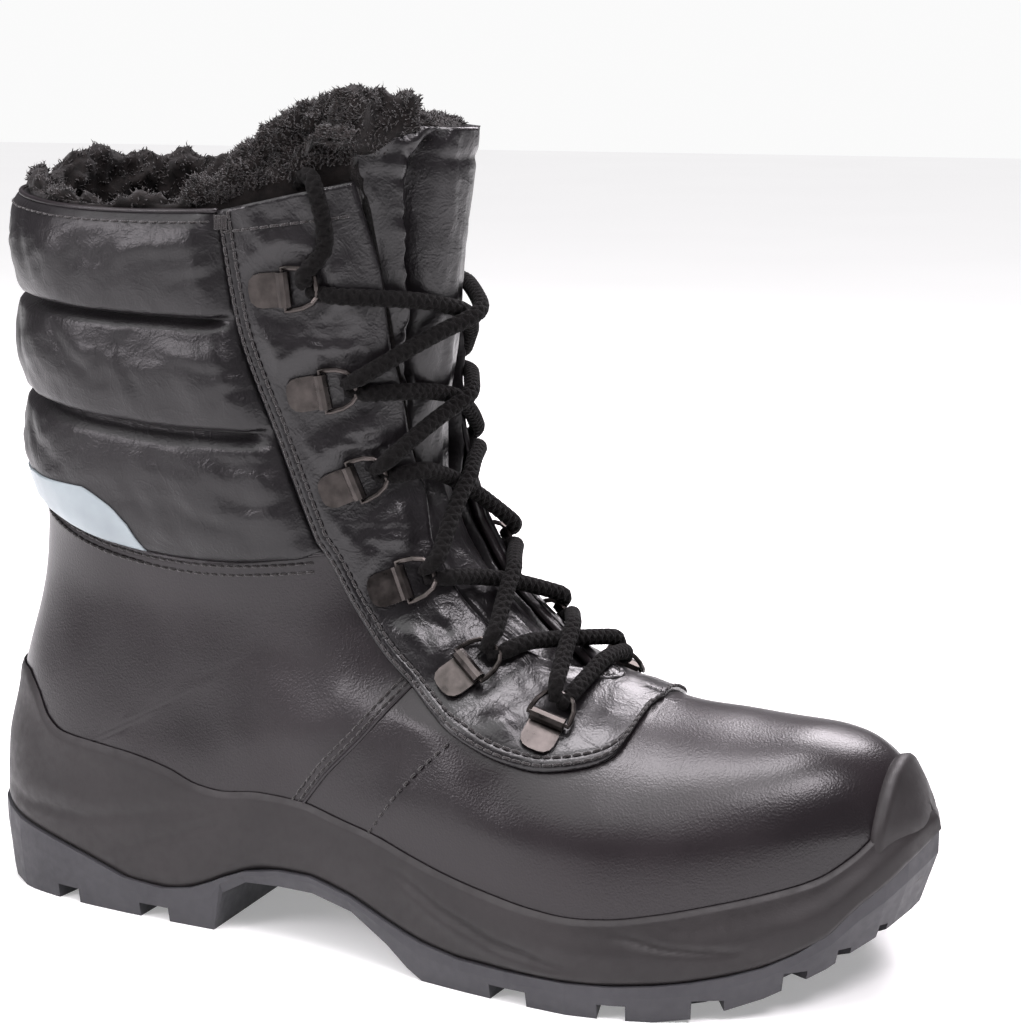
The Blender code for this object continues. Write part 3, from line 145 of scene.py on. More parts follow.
TONGUE = (
    (2.07, 0.042, 0.0, 0.55), (2.12, 0.045, 0.0, 0.80), (2.18, 0.049, 0.0, 1.0), (2.26, 0.053, 0.1, 1.0),
    (2.40, 0.060, 0.4, 1.0), (2.60, 0.068, 0.8, 1.0), (2.85, 0.080, 1.0, 1.0), (3.05, 0.086, 1.0, 1.0),
    (3.20, 0.078, 1.0, 1.0), (3.40, 0.045, 1.0, 1.0), (3.60, 0.020, 1.0, 1.0), (3.80, 0.006, 1.0, 1.0),
    (3.97, 0.001, 1.0, 0.97), (4.10, 0.0, 0.9, 0.92), (4.18, 0.0, 0.8, 0.84), (4.24, 0.001, 0.7, 0.68),
)
# Free end of the lace: share, level, how far it has gone through the wall
LACE_END = (
    (0.436, 3.89, 0.0), (0.434, 3.99, 0.0), (0.430, 4.05, 0.0), (0.428, 4.082, 0.08), (0.426, 4.106, 0.27),
    (0.422, 4.115, 0.5), (0.417, 4.106, 0.74), (0.412, 4.080, 0.93), (0.404, 4.03, 1.0), (0.394, 3.95, 1.0),
    (0.384, 3.84, 1.0), (0.374, 3.73, 1.0),
)


# Shape of the boot
def curve(value, keys, values):
    """Smooth curve through the table that never swings past its points."""
    keys, values = np.asarray(keys, float), np.asarray(values, float)
    steps = np.diff(keys)
    slopes = np.diff(values) / steps
    tangents = np.zeros(len(keys))
    tangents[0], tangents[-1] = slopes[0], slopes[-1]
    for i in range(1, len(keys) - 1):
        if slopes[i - 1] * slopes[i] > 0:
            near = 2 * steps[i] + steps[i - 1]
            far = steps[i] + 2 * steps[i - 1]
            tangents[i] = (near + far) / (near / slopes[i - 1] + far / slopes[i])
    inside = np.clip(value, keys[0], keys[-1])
    i = np.clip(np.searchsorted(keys, inside, side="right") - 1, 0, len(steps) - 1)
    t = (inside - keys[i]) / steps[i]
    start = (1 + 2 * t) * (1 - t) ** 2 * values[i] + t * (1 - t) ** 2 * steps[i] * tangents[i]
    return start + t * t * (3 - 2 * t) * values[i + 1] + t * t * (t - 1) * steps[i] * tangents[i + 1]


def column(rows, k):
    return np.array([row[k] for row in rows], float)


def smooth(t):
    t = np.clip(t, 0, 1)
    return t * t * (3 - 2 * t)


def lengths_along(path):
    """Length from the start of the path to each of its points."""
    return np.concatenate(([0], np.cumsum(np.linalg.norm(np.diff(path, axis=0), axis=1))))


def along(share):
    return (np.asarray(share, float) - HEEL_REST) * SOLE_LENGTH


def share_at(x):
    return np.asarray(x, float) / SOLE_LENGTH + HEEL_REST


def rise(level):
    return np.interp(level, range(6), LEVEL_HEIGHTS)


def level_at(z):
    return np.interp(z, LEVEL_HEIGHTS, range(6))


def width_at(share):
    return HEEL_WIDTH + (BALL_WIDTH - HEEL_WIDTH) * smooth((share - 0.30) / 0.38)


def front_x(z):
    return along(curve(level_at(z), column(FRONT_LINE, 1), column(FRONT_LINE, 0)))


def ridge_z(x):
    rows = FRONT_LINE[RIDGE_ROWS][::-1]
    return rise(curve(share_at(x), column(rows, 0), column(rows, 1)))


def back_x(z):
    return along(curve(level_at(z), column(BACK_LINE, 1), column(BACK_LINE, 0)))


def ridge_y(x, z):
    bend = curve(share_at(x), column(RIDGE_BEND, 0), column(RIDGE_BEND, 1)) * BALL_WIDTH
    return bend * (1 - smooth((level_at(z) - 1.87) / 1.0))


def rounding(q, power):
    return (1 - (1 - np.clip(q, 0, 1)) ** power) ** (1 / power)


def face_y(x, z, side):
    """Y of the upper's outer face at points of the side view. side is -1 lateral, +1 medial."""
    share, level = share_at(x), level_at(z)
    k = 1 if side < 0 else 2
    foot = curve(share, column(FOOT_WIDTHS, 0), column(FOOT_WIDTHS, k)) * width_at(share)
    shaft = curve(level, column(SHAFT_WIDTHS, 0), column(SHAFT_WIDTHS, k)) * SHAFT_WIDTH
    half = foot + (shaft - foot) * smooth((level - 1.40) / 1.25)
    below = np.maximum(ridge_z(x) - z, 1e-9)
    behind = np.maximum(front_x(z) - x, 1e-9)
    crown = curve(share, (0.45, 0.61, 0.77, 0.97), (0.34, 0.325, 0.34, 0.31)) * BALL_WIDTH
    prow = curve(level, (0.8, 2.0, 2.5, 3.1, 4.0), (0.237, 0.253, 0.190, 0.203, 0.234)) * SOLE_LENGTH
    lying = 1 - smooth((level - 2.7) / 0.45)
    front = 1 / np.sqrt(lying * (crown / below) ** 2 + (prow / behind) ** 2)
    tail = curve(level, (0.8, 2.5, 4.0), (0.133, 0.146, 0.158)) * SOLE_LENGTH
    back = np.maximum(x - back_x(z), 0) / tail
    return ridge_y(x, z) + side * half * rounding(front, 2.1) * rounding(back, 2.0)


def face_at(x, z, side):
    """Points and outward normals of the outer face at side-view places."""
    x, z = np.asarray(x, float), np.asarray(z, float)
    step = 0.0008
    by_x = (face_y(x + step, z, side) - face_y(x - step, z, side)) / (2 * step)
    by_z = (face_y(x, z + step, side) - face_y(x, z - step, side)) / (2 * step)
    normal = np.stack([-by_x, np.ones_like(by_x), -by_z], axis=-1) * side
    normal /= np.linalg.norm(normal, axis=-1, keepdims=True)
    return np.stack([x, face_y(x, z, side), z], axis=-1), normal


def fan_line(place):
    """Start, seam, end, sag and edge row of the fan line at a fractional row of FAN, in the side view."""
    row = min(int(place), len(FAN) - 2)
    t = place - row
    low, high = FAN[row], FAN[row + 1]
    starts = []
    for share, level, *_ in (low, high):
        z = float(rise(level))
        starts.append((float(back_x(z)) if share is None else float(along(share)), z))
    start = tuple(a + (b - a) * t for a, b in zip(*starts))
    if low[0] is None:
        z = float(rise(low[1] + (high[1] - low[1]) * t))
        start = (float(back_x(z)), z)
    edge = low[3] + (high[3] - low[3]) * t
    end_x = float(along(curve(edge, range(len(EDGE)), column(EDGE, 0))))
    end_z = float(rise(curve(edge, range(len(EDGE)), column(EDGE, 1))))
    if edge <= NOSE_ROW:
        end_x = float(front_x(end_z))
    elif edge <= THROAT_ROW:
        end_z = float(ridge_z(end_x))
    if place == 0:
        start = (end_x, end_z)
    if low[2] is None:
        part = 0.7 + 0.3 * float(smooth((edge - 4) / 8))
        seam = (start[0] + (end_x - start[0]) * part, start[1] + (end_z - start[1]) * part)
    else:
        seam_row = low[2] + (high[2] - low[2]) * t
        seam_x = float(along(curve(seam_row, range(len(SEAM)), column(SEAM, 0))))
        seam_z = float(rise(curve(seam_row, range(len(SEAM)), column(SEAM, 1))))
        mix = float(smooth(seam_row / 0.6))
        seam_z = min(seam_z, float(ridge_z(seam_x))) if edge < THROAT_ROW else seam_z
        seam = (end_x + (seam_x - end_x) * mix, end_z + (seam_z - end_z) * mix)
    return start, seam, (end_x, end_z), (low[4] + (high[4] - low[4]) * t) * COLLAR_HEIGHT, edge


def skin(places, behind, ahead):
    """The outer face over fan places, with these many columns behind and ahead of the lacing panel's seam:
    points and normals as [side, line, column, xyz]. behind or ahead of 0 leaves that part out."""
    grid = []
    for place in places:
        start, seam, end, sag, edge = fan_line(place)
        points = []
        if behind:
            t = np.linspace(0, 1, behind + 1)
            turned = 1 - np.cos(t * math.pi / 2)
            eased = np.sin(t * math.pi * 0.375) / math.sin(math.pi * 0.375)
            on_back = float(np.clip(place - 15, 0, 1))
            on_toe = float(np.clip(12 - edge, 0, 1))
            t = t + (turned - t) * on_back + (eased - t) * on_toe
            drop = sag * np.sin(math.pi * t)
            points += list(zip(start[0] + (seam[0] - start[0]) * t, start[1] + (seam[1] - start[1]) * t - drop))
        if ahead:
            t = np.linspace(0, 1, ahead + 1)
            t = t + (np.sin(t * math.pi / 2) - t) * float(np.clip(THROAT_ROW + 1 - edge, 0, 1))
            here = list(zip(seam[0] + (end[0] - seam[0]) * t, seam[1] + (end[1] - seam[1]) * t))
            points += here[1:] if behind else here
        grid.append(points)
    grid = np.array(grid)
    x, z = grid[..., 0], grid[..., 1]
    points = np.zeros((2, *grid.shape[:2], 3))
    for k, side in enumerate((-1, 1)):
        points[k] = np.stack([x, face_y(x, z, side), z], axis=-1)
        for i, place in enumerate(places):
            edge = fan_line(place)[4]
            if ahead and edge <= THROAT_ROW:
                points[k, i, -1, 1] = ridge_y(x[i, -1], z[i, -1])
            if behind and place >= 16:
                points[k, i, 0, 1] = ridge_y(x[i, 0], z[i, 0])
            if place == 0:
                points[k, i, :, 1] = ridge_y(x[i], z[i])
    return points, grid_normals(points)


def grid_normals(points):
    """Outward normals of a two-sided grid, averaged where points fall together."""
    keys = np.round(points.reshape(-1, 3) * 2e6).astype(np.int64)
    _, index = np.unique(keys, axis=0, return_inverse=True)
    index = index.reshape(points.shape[:3])
    normals = np.zeros((index.max() + 1, 3))
    for k, turn in enumerate((-1, 1)):
        a, b = points[k, :-1, :-1], points[k, 1:, :-1]
        c, d = points[k, 1:, 1:], points[k, :-1, 1:]
        faces = np.cross(c - a, d - b) * turn
        for corner in (index[k, :-1, :-1], index[k, 1:, :-1], index[k, 1:, 1:], index[k, :-1, 1:]):
            np.add.at(normals, corner.reshape(-1), faces.reshape(-1, 3))
    normals /= np.maximum(np.linalg.norm(normals, axis=1, keepdims=True), 1e-12)
    return normals[index]


def places_from(first, last, steps):
    """Fan places from first to last, this many to a row of FAN (a number, or one for each row)."""
    counts = [steps] * (last - first) if isinstance(steps, int) else steps
    places = [first + i + j / n for i, n in enumerate(counts) for j in range(n)]
    return np.array(places + [last], float)


# Meshes
def finish_mesh(name, points, faces, material, slot, nodes=(), smooth_angle=None, keep_normals=False):
    """A closed mesh as a piece of the object, riding on the frame."""
    mesh = bpy.data.meshes.new(name)
    mesh.from_pydata([tuple(p) for p in points], [], faces)
    bm = bmesh.new()
    bm.from_mesh(mesh)
    if not keep_normals:
        bmesh.ops.remove_doubles(bm, verts=bm.verts, dist=2e-6)
        bmesh.ops.dissolve_degenerate(bm, edges=bm.edges, dist=1e-7)
        bmesh.ops.recalc_face_normals(bm, faces=bm.faces)
        if bm.calc_volume(signed=True) < 0:
            bmesh.ops.reverse_faces(bm, faces=bm.faces)
    bm.to_mesh(mesh)
    bm.free()
    mesh.shade_smooth()
    if smooth_angle:
        mesh.set_sharp_from_angle(angle=math.radians(smooth_angle))
    mesh.materials.append(material)
    obj = bpy.data.objects.new(name, mesh)
    bpy.context.scene.collection.objects.link(obj)
    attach(obj, "root")
    if nodes:
        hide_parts(*nodes)
    return obj


def grid_quads(rows, columns, start=0):
    index = np.arange(rows * columns).reshape(rows, columns) + start
    corners = (index[:-1, :-1], index[1:, :-1], index[1:, 1:], index[:-1, 1:])
    return np.stack([c.reshape(-1) for c in corners], axis=1).tolist()


def border(index):
    pairs = []
    for line in (index[0], index[-1], index[:, 0], index[:, -1]):
        pairs += list(zip(line[:-1].tolist(), line[1:].tolist()))
    return pairs


def shell(inner, outer):
    """Points and faces of a closed shell between two [side, line, column] grids."""
    sides, rows, columns = inner.shape[:3]
    count = rows * columns
    points, faces = [], []
    for k in range(sides):
        base = len(points)
        points += list(inner[k].reshape(-1, 3)) + list(outer[k].reshape(-1, 3))
        faces += grid_quads(rows, columns, base) + grid_quads(rows, columns, base + count)
        together = np.zeros(count, bool)
        if sides == 2:
            together = (np.linalg.norm(outer[0] - outer[1], axis=-1) < 2e-6).reshape(-1)
        for a, b in border(np.arange(count).reshape(rows, columns)):
            if not (together[a] and together[b]):
                faces.append((base + a, base + b, base + b + count, base + a + count))
    return points, [face for face in faces if worth(points, face)]


def worth(points, face):
    return len({(round(points[c][0], 6), round(points[c][1], 6), round(points[c][2], 6)) for c in face}) > 2


def waves(points, size, seed):
    """Smooth noise from -1 to 1 at these points: sums of slanted sines, the same every run."""
    rng = np.random.default_rng(seed)
    total = np.zeros(points.shape[:-1])
    for finer in (1, 2):
        for _ in range(7):
            way = rng.normal(size=3)
            way *= 2 * math.pi / (size / finer) / np.linalg.norm(way) * rng.uniform(0.7, 1.3)
            total += np.sin(points @ way + rng.uniform(0, 6.28)) / finer * 0.45
    return np.clip(total / 1.3, -1, 1)


def troughs(x, z, rows):
    """Depth of soft creases at side-view places. A row is its points in mm, half width in mm, depth in mm."""
    depth = np.zeros_like(x)
    for path, width, deep in rows:
        path = np.array(path, float) * MM
        lengths = lengths_along(path)
        best, where = np.full(x.shape, 1.0), np.zeros_like(x)
        for i in range(len(path) - 1):
            a, b = path[i], path[i + 1]
            t = np.clip(((x - a[0]) * (b - a)[0] + (z - a[1]) * (b - a)[1]) / ((b - a) @ (b - a)), 0, 1)
            away = np.hypot(x - a[0] - (b - a)[0] * t, z - a[1] - (b - a)[1] * t)
            nearer = away < best
            best = np.where(nearer, away, best)
            where = np.where(nearer, (lengths[i] + (lengths[i + 1] - lengths[i]) * t) / lengths[-1], where)
        taper = np.sqrt(np.clip(np.sin(math.pi * np.clip(where, 0.0, 1.0)), 0, 1))
        depth += deep * MM * np.exp(-(best / (width * MM)) ** 2) * (0.15 + 0.85 * taper)
    return depth


END_BULGE = 0.4  # height of a tube's rounded end, in radii


def tube(path, radius, sides=8, bumps=None):
    """Points and faces of a round tube along a path. bumps gives a factor on the radius by turn and length."""
    path = np.asarray(path, float)
    count = len(path)
    ahead = np.gradient(path, axis=0)
    ahead /= np.maximum(np.linalg.norm(ahead, axis=1, keepdims=True), 1e-12)
    first = np.zeros_like(path)
    side = np.cross(ahead[0], (0.31, 0.12, 0.94))
    for i in range(count):
        side = side - ahead[i] * (side @ ahead[i])
        side /= np.linalg.norm(side)
        first[i] = side
    second = np.cross(ahead, first)
    turn = 2 * math.pi * np.arange(sides) / sides
    far = lengths_along(path)
    radii = np.broadcast_to(np.asarray(radius, float), (count,))[:, None] * np.ones(sides)
    if bumps is not None:
        radii = radii * bumps(turn[None, :], far[:, None])
    rings = path[:, None] + radii[..., None] * (
        first[:, None] * np.cos(turn)[None, :, None] + second[:, None] * np.sin(turn)[None, :, None]
    )
    points = list(rings.reshape(-1, 3))
    faces = []
    for i in range(count - 1):
        for j in range(sides):
            a, b = i * sides + j, i * sides + (j + 1) % sides
            faces.append((a, b, b + sides, a + sides))
    for i, way in ((0, -1), (count - 1, 1)):
        points.append(path[i] + way * ahead[i] * radii[i, 0] * END_BULGE)
        ring = [i * sides + j for j in range(sides)]
        faces += [(ring[j], ring[(j + 1) % sides], len(points) - 1) for j in range(sides)]
    return points, faces


class Pile:
    """Many small meshes gathered into one piece."""

    def __init__(self):
        self.points, self.faces = [], []

    def add(self, points, faces):
        base = len(self.points)
        self.points += list(points)
        self.faces += [tuple(c + base for c in face) for face in faces]


def resampled(path, step):
    """The same path with points this far apart."""
    path = np.asarray(path, float)
    far = lengths_along(path)
    count = max(int(far[-1] / step), 1) + 1
    places = np.linspace(0, far[-1], count)
    return np.stack([np.interp(places, far, path[:, k]) for k in range(path.shape[1])], axis=1)


def softened(path, rounds):
    """The path with its corners rounded, its ends kept."""
    path = np.asarray(path, float).copy()
    for _ in range(rounds):
        path[1:-1] = 0.25 * path[:-2] + 0.5 * path[1:-1] + 0.25 * path[2:]
    return path


def tree_of(*objects):
    """A search tree for each object's mesh."""
    trees = []
    for obj in objects:
        points = [v.co.copy() for v in obj.data.vertices]
        trees.append(BVHTree.FromPolygons(points, [tuple(p.vertices) for p in obj.data.polygons]))
    return trees


# Materials
def new_material(name):
    material = bpy.data.materials.new(name)
    material.use_nodes = True
    tree = material.node_tree
    shader = tree.nodes["Principled BSDF"]
    place = tree.nodes.new("ShaderNodeTexCoord").outputs["Object"]
    return material, tree, shader, place


def set_inputs(shader, **values):
    """Scalars set on the shader's own sockets; an underscore stands for a space."""
    for name, value in values.items():
        shader.inputs[name.replace("_", " ")].default_value = value


def tint(tree, shader, socket, source, low, high):
    """Runs a socket from the first value to the second between two places of the source: (place, value)."""
    tree.links.new(ramp(tree, source, [low, high]), shader.inputs[socket])


def texture(tree, kind, place, scale, **settings):
    node = tree.nodes.new(f"ShaderNodeTex{kind}")
    tree.links.new(place, node.inputs["Vector"])
    node.inputs["Scale"].default_value = scale
    for key, value in settings.items():
        if key in node.inputs:
            node.inputs[key].default_value = value
        else:
            setattr(node, key, value)
    return node


def ramp(tree, source, stops):
    node = tree.nodes.new("ShaderNodeValToRGB")
    tree.links.new(source, node.inputs["Fac"])
    elements = node.color_ramp.elements
    while len(elements) < len(stops):
        elements.new(0.5)
    for element, (position, colour) in zip(elements, stops):
        element.position = position
        element.color = (*colour, 1) if len(colour) == 3 else (*(colour * 3), 1)
    return node.outputs["Color"]


def bump(tree, shader, layers):
    """Chains bumps: (height output, strength, distance in metres)."""
    before = None
    for height, strength, distance in layers:
        node = tree.nodes.new("ShaderNodeBump")
        node.inputs["Strength"].default_value = strength
        node.inputs["Distance"].default_value = distance
        tree.links.new(height, node.inputs["Height"])
        if before:
            tree.links.new(before, node.inputs["Normal"])
        before = node.outputs["Normal"]
    tree.links.new(before, shader.inputs["Normal"])


def leather(name, dark, light, rough, grain, gloss, crease=0.0):
    """Leather: cloudy colour, uneven gloss, a fine grain and faint creases."""
    material, tree, shader, place = new_material(name)
    cloud = texture(tree, "Noise", place, 22, Detail=4)
    fine = texture(tree, "Noise", place, 900, Detail=3)
    pores = texture(tree, "Voronoi", place, grain, feature="F1")
    cells = texture(tree, "Voronoi", place, grain * 0.55, feature="DISTANCE_TO_EDGE")
    tint(tree, shader, "Base Color", cloud.outputs[0], (0.3, dark), (0.75, light))
    tint(tree, shader, "Roughness", cloud.outputs[0], (0.25, (rough[0],)), (0.8, (rough[1],)))
    layers = [
        (pores.outputs["Distance"], 0.35, 0.00012), (cells.outputs["Distance"], 0.3, 0.00015),
        (fine.outputs[0], 0.25, 0.00006),
    ]
    if crease:
        wrinkle = texture(tree, "Noise", place, 120, Detail=5, Distortion=1.2)
        lines = ramp(tree, wrinkle.outputs[0], [(0.42, (0.0,)), (0.5, (1.0,)), (0.58, (0.0,))])
        layers.append((lines, crease, 0.0003))
    bump(tree, shader, layers)
    set_inputs(shader, Specular_IOR_Level=gloss, Coat_Weight=0.06, Coat_Roughness=0.25)
    return material


def rubber(name, dark, light, rough):
    """Rubber or moulded foam: matt, with a faint coarse skin."""
    material, tree, shader, place = new_material(name)
    cloud = texture(tree, "Noise", place, 30, Detail=5)
    fine = texture(tree, "Noise", place, 1500, Detail=3)
    coarse = texture(tree, "Noise", place, 320, Detail=4)
    tint(tree, shader, "Base Color", cloud.outputs[0], (0.3, dark), (0.75, light))
    tint(tree, shader, "Roughness", coarse.outputs[0], (0.3, (rough[0],)), (0.7, (rough[1],)))
    bump(tree, shader, [(coarse.outputs[0], 0.3, 0.0002), (fine.outputs[0], 0.35, 0.0001)])
    set_inputs(shader, Specular_IOR_Level=0.4)
    return material


def fibres(name, dark, light, scale, sheen):
    """Pile, felt, cord or thread: matt and tufted, with a sheen."""
    material, tree, shader, place = new_material(name)
    tuft = texture(tree, "Noise", place, scale, Detail=6)
    fine = texture(tree, "Noise", place, scale * 8, Detail=2)
    tint(tree, shader, "Base Color", tuft.outputs[0], (0.3, dark), (0.7, light))
    bump(tree, shader, [(tuft.outputs[0], 0.6, 0.0006), (fine.outputs[0], 0.5, 0.0002)])
    set_inputs(shader, Roughness=0.85, Specular_IOR_Level=0.12, Sheen_Weight=sheen, Sheen_Roughness=0.5)
    return material


def metal(name):
    """Dark worn steel."""
    material, tree, shader, place = new_material(name)
    cloud = texture(tree, "Noise", place, 260, Detail=4)
    scratch = texture(tree, "Noise", place, 1800, Detail=2)
    dark, light = (0.040, 0.036, 0.034), (0.085, 0.075, 0.071)
    tint(tree, shader, "Base Color", cloud.outputs[0], (0.3, dark), (0.7, light))
    tint(tree, shader, "Roughness", cloud.outputs[0], (0.3, (0.26,)), (0.75, (0.42,)))
    bump(tree, shader, [(scratch.outputs[0], 0.15, 0.00005)])
    set_inputs(shader, Metallic=1.0)
    return material


def tape(name):
    """Reflective tape: grey-blue with a fine weave of beads."""
    material, tree, shader, place = new_material(name)
    beads = texture(tree, "Voronoi", place, 2600, feature="F1")
    cloud = texture(tree, "Noise", place, 60, Detail=3)
    tint(tree, shader, "Base Color", cloud.outputs[0], (0.3, (0.23, 0.27, 0.29)), (0.7, (0.31, 0.36, 0.38)))
    bump(tree, shader, [(beads.outputs["Distance"], 0.3, 0.0001), (cloud.outputs[0], 0.3, 0.0006)])
    set_inputs(shader, Roughness=0.38, Specular_IOR_Level=0.7)
    return material


GRAIN = leather("grain_leather", (0.008, 0.0060, 0.0072), (0.015, 0.0114, 0.0132), (0.29, 0.39), 1500, 0.38)
NAPPA = leather(
    "nappa_leather", (0.0045, 0.0039, 0.0046), (0.010, 0.0085, 0.0098), (0.26, 0.37), 1300, 0.44, crease=0.2,
)
QUILT = leather(
    "quilt_leather", (0.0055, 0.0048, 0.0056), (0.011, 0.0096, 0.0108), (0.32, 0.43), 1300, 0.36, crease=0.2,
)
MOULDED = rubber("moulded_unit", (0.010, 0.0084, 0.0088), (0.018, 0.0152, 0.0158), (0.46, 0.60))
SLATE = rubber("slate_rubber", (0.030, 0.0295, 0.034), (0.048, 0.0475, 0.053), (0.55, 0.70))
FUR = fibres("fur_pile", (0.0016, 0.0012, 0.0011), (0.010, 0.0076, 0.0070), 420, 0.12)
CORD = fibres("lace_yarn", (0.0012, 0.0010, 0.0010), (0.0050, 0.0042, 0.0042), 1400, 0.03)
# Sewing thread: a dark thread coloured lighter than the leather, a painted highlight on the stitches
THREAD_PAINTED_HIGHLIGHT = fibres("sewing_thread_painted_highlight", (0.012, 0.0105, 0.0105), (0.040, 0.035, 0.035), 3000, 0.3)
# Tufts of the pile: a lighter copy of the dark fur, a painted highlight on the fur's lumps
FUR_PAINTED_HIGHLIGHT = fibres("fur_pile_painted_highlight", (0.004, 0.0031, 0.0029), (0.024, 0.0185, 0.0170), 300, 0.3)
STEEL = metal("gunmetal_steel")
TAPE = tape("reflective_tape")
FELT = fibres("insole_felt", (0.012, 0.011, 0.011), (0.03, 0.028, 0.027), 700, 0.3)


# Camera: it stands this far and high, round the point LOOK_X by PHI degrees, turned by YAW and down by PITCH
PHI, PITCH, YAW = 25.5, 11.4, -2.08
DISTANCE, HEIGHT, LOOK_X = 0.680, 0.268, 0.110
FOCAL_PX, LONG_SIDE_PX, SENSOR_MM = 2216, 1024, 36


def make_camera():
    phi, turn, pitch = math.radians(PHI), math.radians(PHI + YAW), math.radians(PITCH)
    data = bpy.data.cameras.new("camera")
    data.sensor_width = SENSOR_MM
    data.lens = FOCAL_PX / LONG_SIDE_PX * SENSOR_MM
    camera = bpy.data.objects.new("camera", data)
    bpy.context.scene.collection.objects.link(camera)
    camera.location = (LOOK_X + DISTANCE * math.sin(phi), -DISTANCE * math.cos(phi), HEIGHT)
    forward = Vector((-math.sin(turn) * math.cos(pitch), math.cos(turn) * math.cos(pitch), -math.sin(pitch)))
    camera.rotation_mode = "QUATERNION"
    camera.rotation_quaternion = forward.to_track_quat("-Z", "Y")
    bpy.context.scene.camera = camera


make_camera()

# Leather of the foot. Creases: points in mm along and up the side view, half width and depth in mm
PLATES = ((78, 203.5), (87.4, 172.5), (95.8, 143.7), (110.5, 113.6), (134, 87.7), (162.8, 74.8))
FOOT_CREASES = (
    (((107, 47), (118, 60), (127, 72)), 6.0, 0.7), (((150, 45), (152, 55), (149, 66)), 9.0, 0.8),
    (((20, 60), (45, 72), (70, 78)), 12.0, 0.7), (((-18, 100), (10, 104), (40, 100)), 14.0, 0.8),
    (((60, 95), (80, 88), (96, 78)), 8.0, 0.6), (((184, 60), (200, 66), (220, 64)), 12.0, 0.5),
    (((126, 50), (140, 44), (160, 40)), 7.0, -0.5), (((60, 60), (84, 66), (104, 76)), 7.0, -0.5),
)


def make_foot_leather():
    """Smooth leather of vamp and quarters, with soft dents where the foot bends."""
    steps = [4, 3, 4, 5, 5, 5, 5, 6, 5, 4, 4, 5, 16, 22, 4, 2, 6, 14]
    points, normals = skin(places_from(0, COUNTER_PLACE, steps), 40, 14)
    x, z = points[..., 0], points[..., 2]
    lift = -troughs(x, z, FOOT_CREASES) + 0.00035 * waves(points, 0.055, 3)
    soft = smooth((z - 0.045) / 0.02) * smooth((0.25 - x) / 0.02)
    outer = points + normals * (lift * soft)[..., None]
    inner = points - normals * UPPER_WALL
    finish_mesh("foot_leather", *shell(inner, outer), GRAIN, "upper_leather", ["upper"])


QUILT_CREASES = (
    (((-22, 222), (-20, 212), (-19, 204)), 2.6, 0.9), (((-8, 222), (-7, 213), (-4, 203)), 2.2, 0.7),
    (((8, 205), (16, 212), (20, 221)), 3.0, 0.5), (((30, 206), (40, 211), (56, 212)), 2.6, 0.7),
    (((58, 203), (62, 210), (63, 222)), 2.0, 1.0), (((46, 203), (52, 206), (60, 207)), 1.6, 0.7),
    (((-20, 192), (-15, 184), (-12, 174)), 2.6, 0.9), (((2, 192), (8, 184), (17, 176)), 2.4, 0.7),
    (((40, 190), (52, 186), (66, 188)), 2.2, 0.8), (((48, 180), (60, 178), (72, 180)), 2.0, 0.8),
    (((60, 168), (64, 173), (73, 172)), 1.8, 0.9), (((28, 188), (30, 180), (36, 170)), 2.4, 0.5),
    (((-14, 160), (-6, 152), (4, 146)), 2.6, 0.7), (((30, 156), (40, 150), (58, 146)), 2.6, 0.8),
    (((50, 155), (62, 150), (78, 150)), 2.2, 0.9), (((58, 142), (70, 138), (84, 138)), 2.4, 0.9),
    (((40, 138), (56, 132), (74, 130)), 2.6, 0.8), (((66, 126), (78, 128), (88, 130)), 1.8, 0.9),
    (((24, 128), (40, 124), (58, 122)), 2.4, 0.6),
)


def make_quilt():
    """The shaft's three puffs and the collar band over them."""
    places = places_from(COUNTER_PLACE, TOP_PLACE, PUFF_LINES)
    points, normals = skin(places, 96, 0)
    reach = np.linalg.norm(points[:, :, -1:, :] - points, axis=-1)
    u = (places - COUNTER_PLACE) % 1.0
    u[-1] = 1.0
    profile = np.sqrt(np.clip(np.sin(math.pi * u ** 0.92), 0, 1))
    under = places < TOP_PLACE - 1
    profile = profile * (1 - np.exp(-((1 - u) / 0.085) ** 4) * under)
    held = smooth(reach / 0.008)
    x, z = points[..., 0], points[..., 2]
    swell = PUFF_SWELL * profile[None, :, None] * held
    body = (profile ** 2)[None, :, None]
    # Short gathers where the quilting lines and the panel's seam pull the leather in
    around = np.arctan2(points[..., 1], points[..., 0] - 0.03) * 0.045
    near_line = np.exp(-(np.minimum(u, 1 - u) / 0.16) ** 2)[None, :, None]
    gathers = np.sin(around / 0.0042 + 2.5 * waves(points, 0.03, 11)) * near_line * waves(points, 0.02, 12)
    near_seam = np.exp(-(reach / 0.012) ** 2)
    pulls = np.sin(z / 0.0021 + 3.0 * waves(points, 0.03, 13)) * near_seam
    swell = swell + (0.00038 * gathers + 0.00035 * pulls * held) * np.minimum(body * 3, 1)
    swell = swell + body * held * (0.0008 * waves(points, 0.045, 5) + 0.0003 * waves(points, 0.014, 6))
    swell = swell - troughs(x, z, QUILT_CREASES) * np.sqrt(body) * smooth(reach / 0.006)
    # Each puff hangs a little over the seam below it and bulges up against the one above
    hang = 0.0036 * profile * np.exp(-(u / 0.17) ** 2)
    sunk = 0.0015 * np.exp(-(u / 0.03) ** 2) * (places > COUNTER_PLACE + 0.5)
    sunk = sunk + 0.0015 * np.exp(-((1 - u) / 0.075) ** 4) * under
    swell = swell - sunk[None, :, None] * held
    outer = points + normals * swell[..., None]
    outer[..., 2] -= hang[None, :, None] * held
    inner = points - normals * UPPER_WALL
    finish_mesh("quilted_shaft", *shell(inner, outer), QUILT, "upper_leather", ["upper"])
    return points, normals, outer


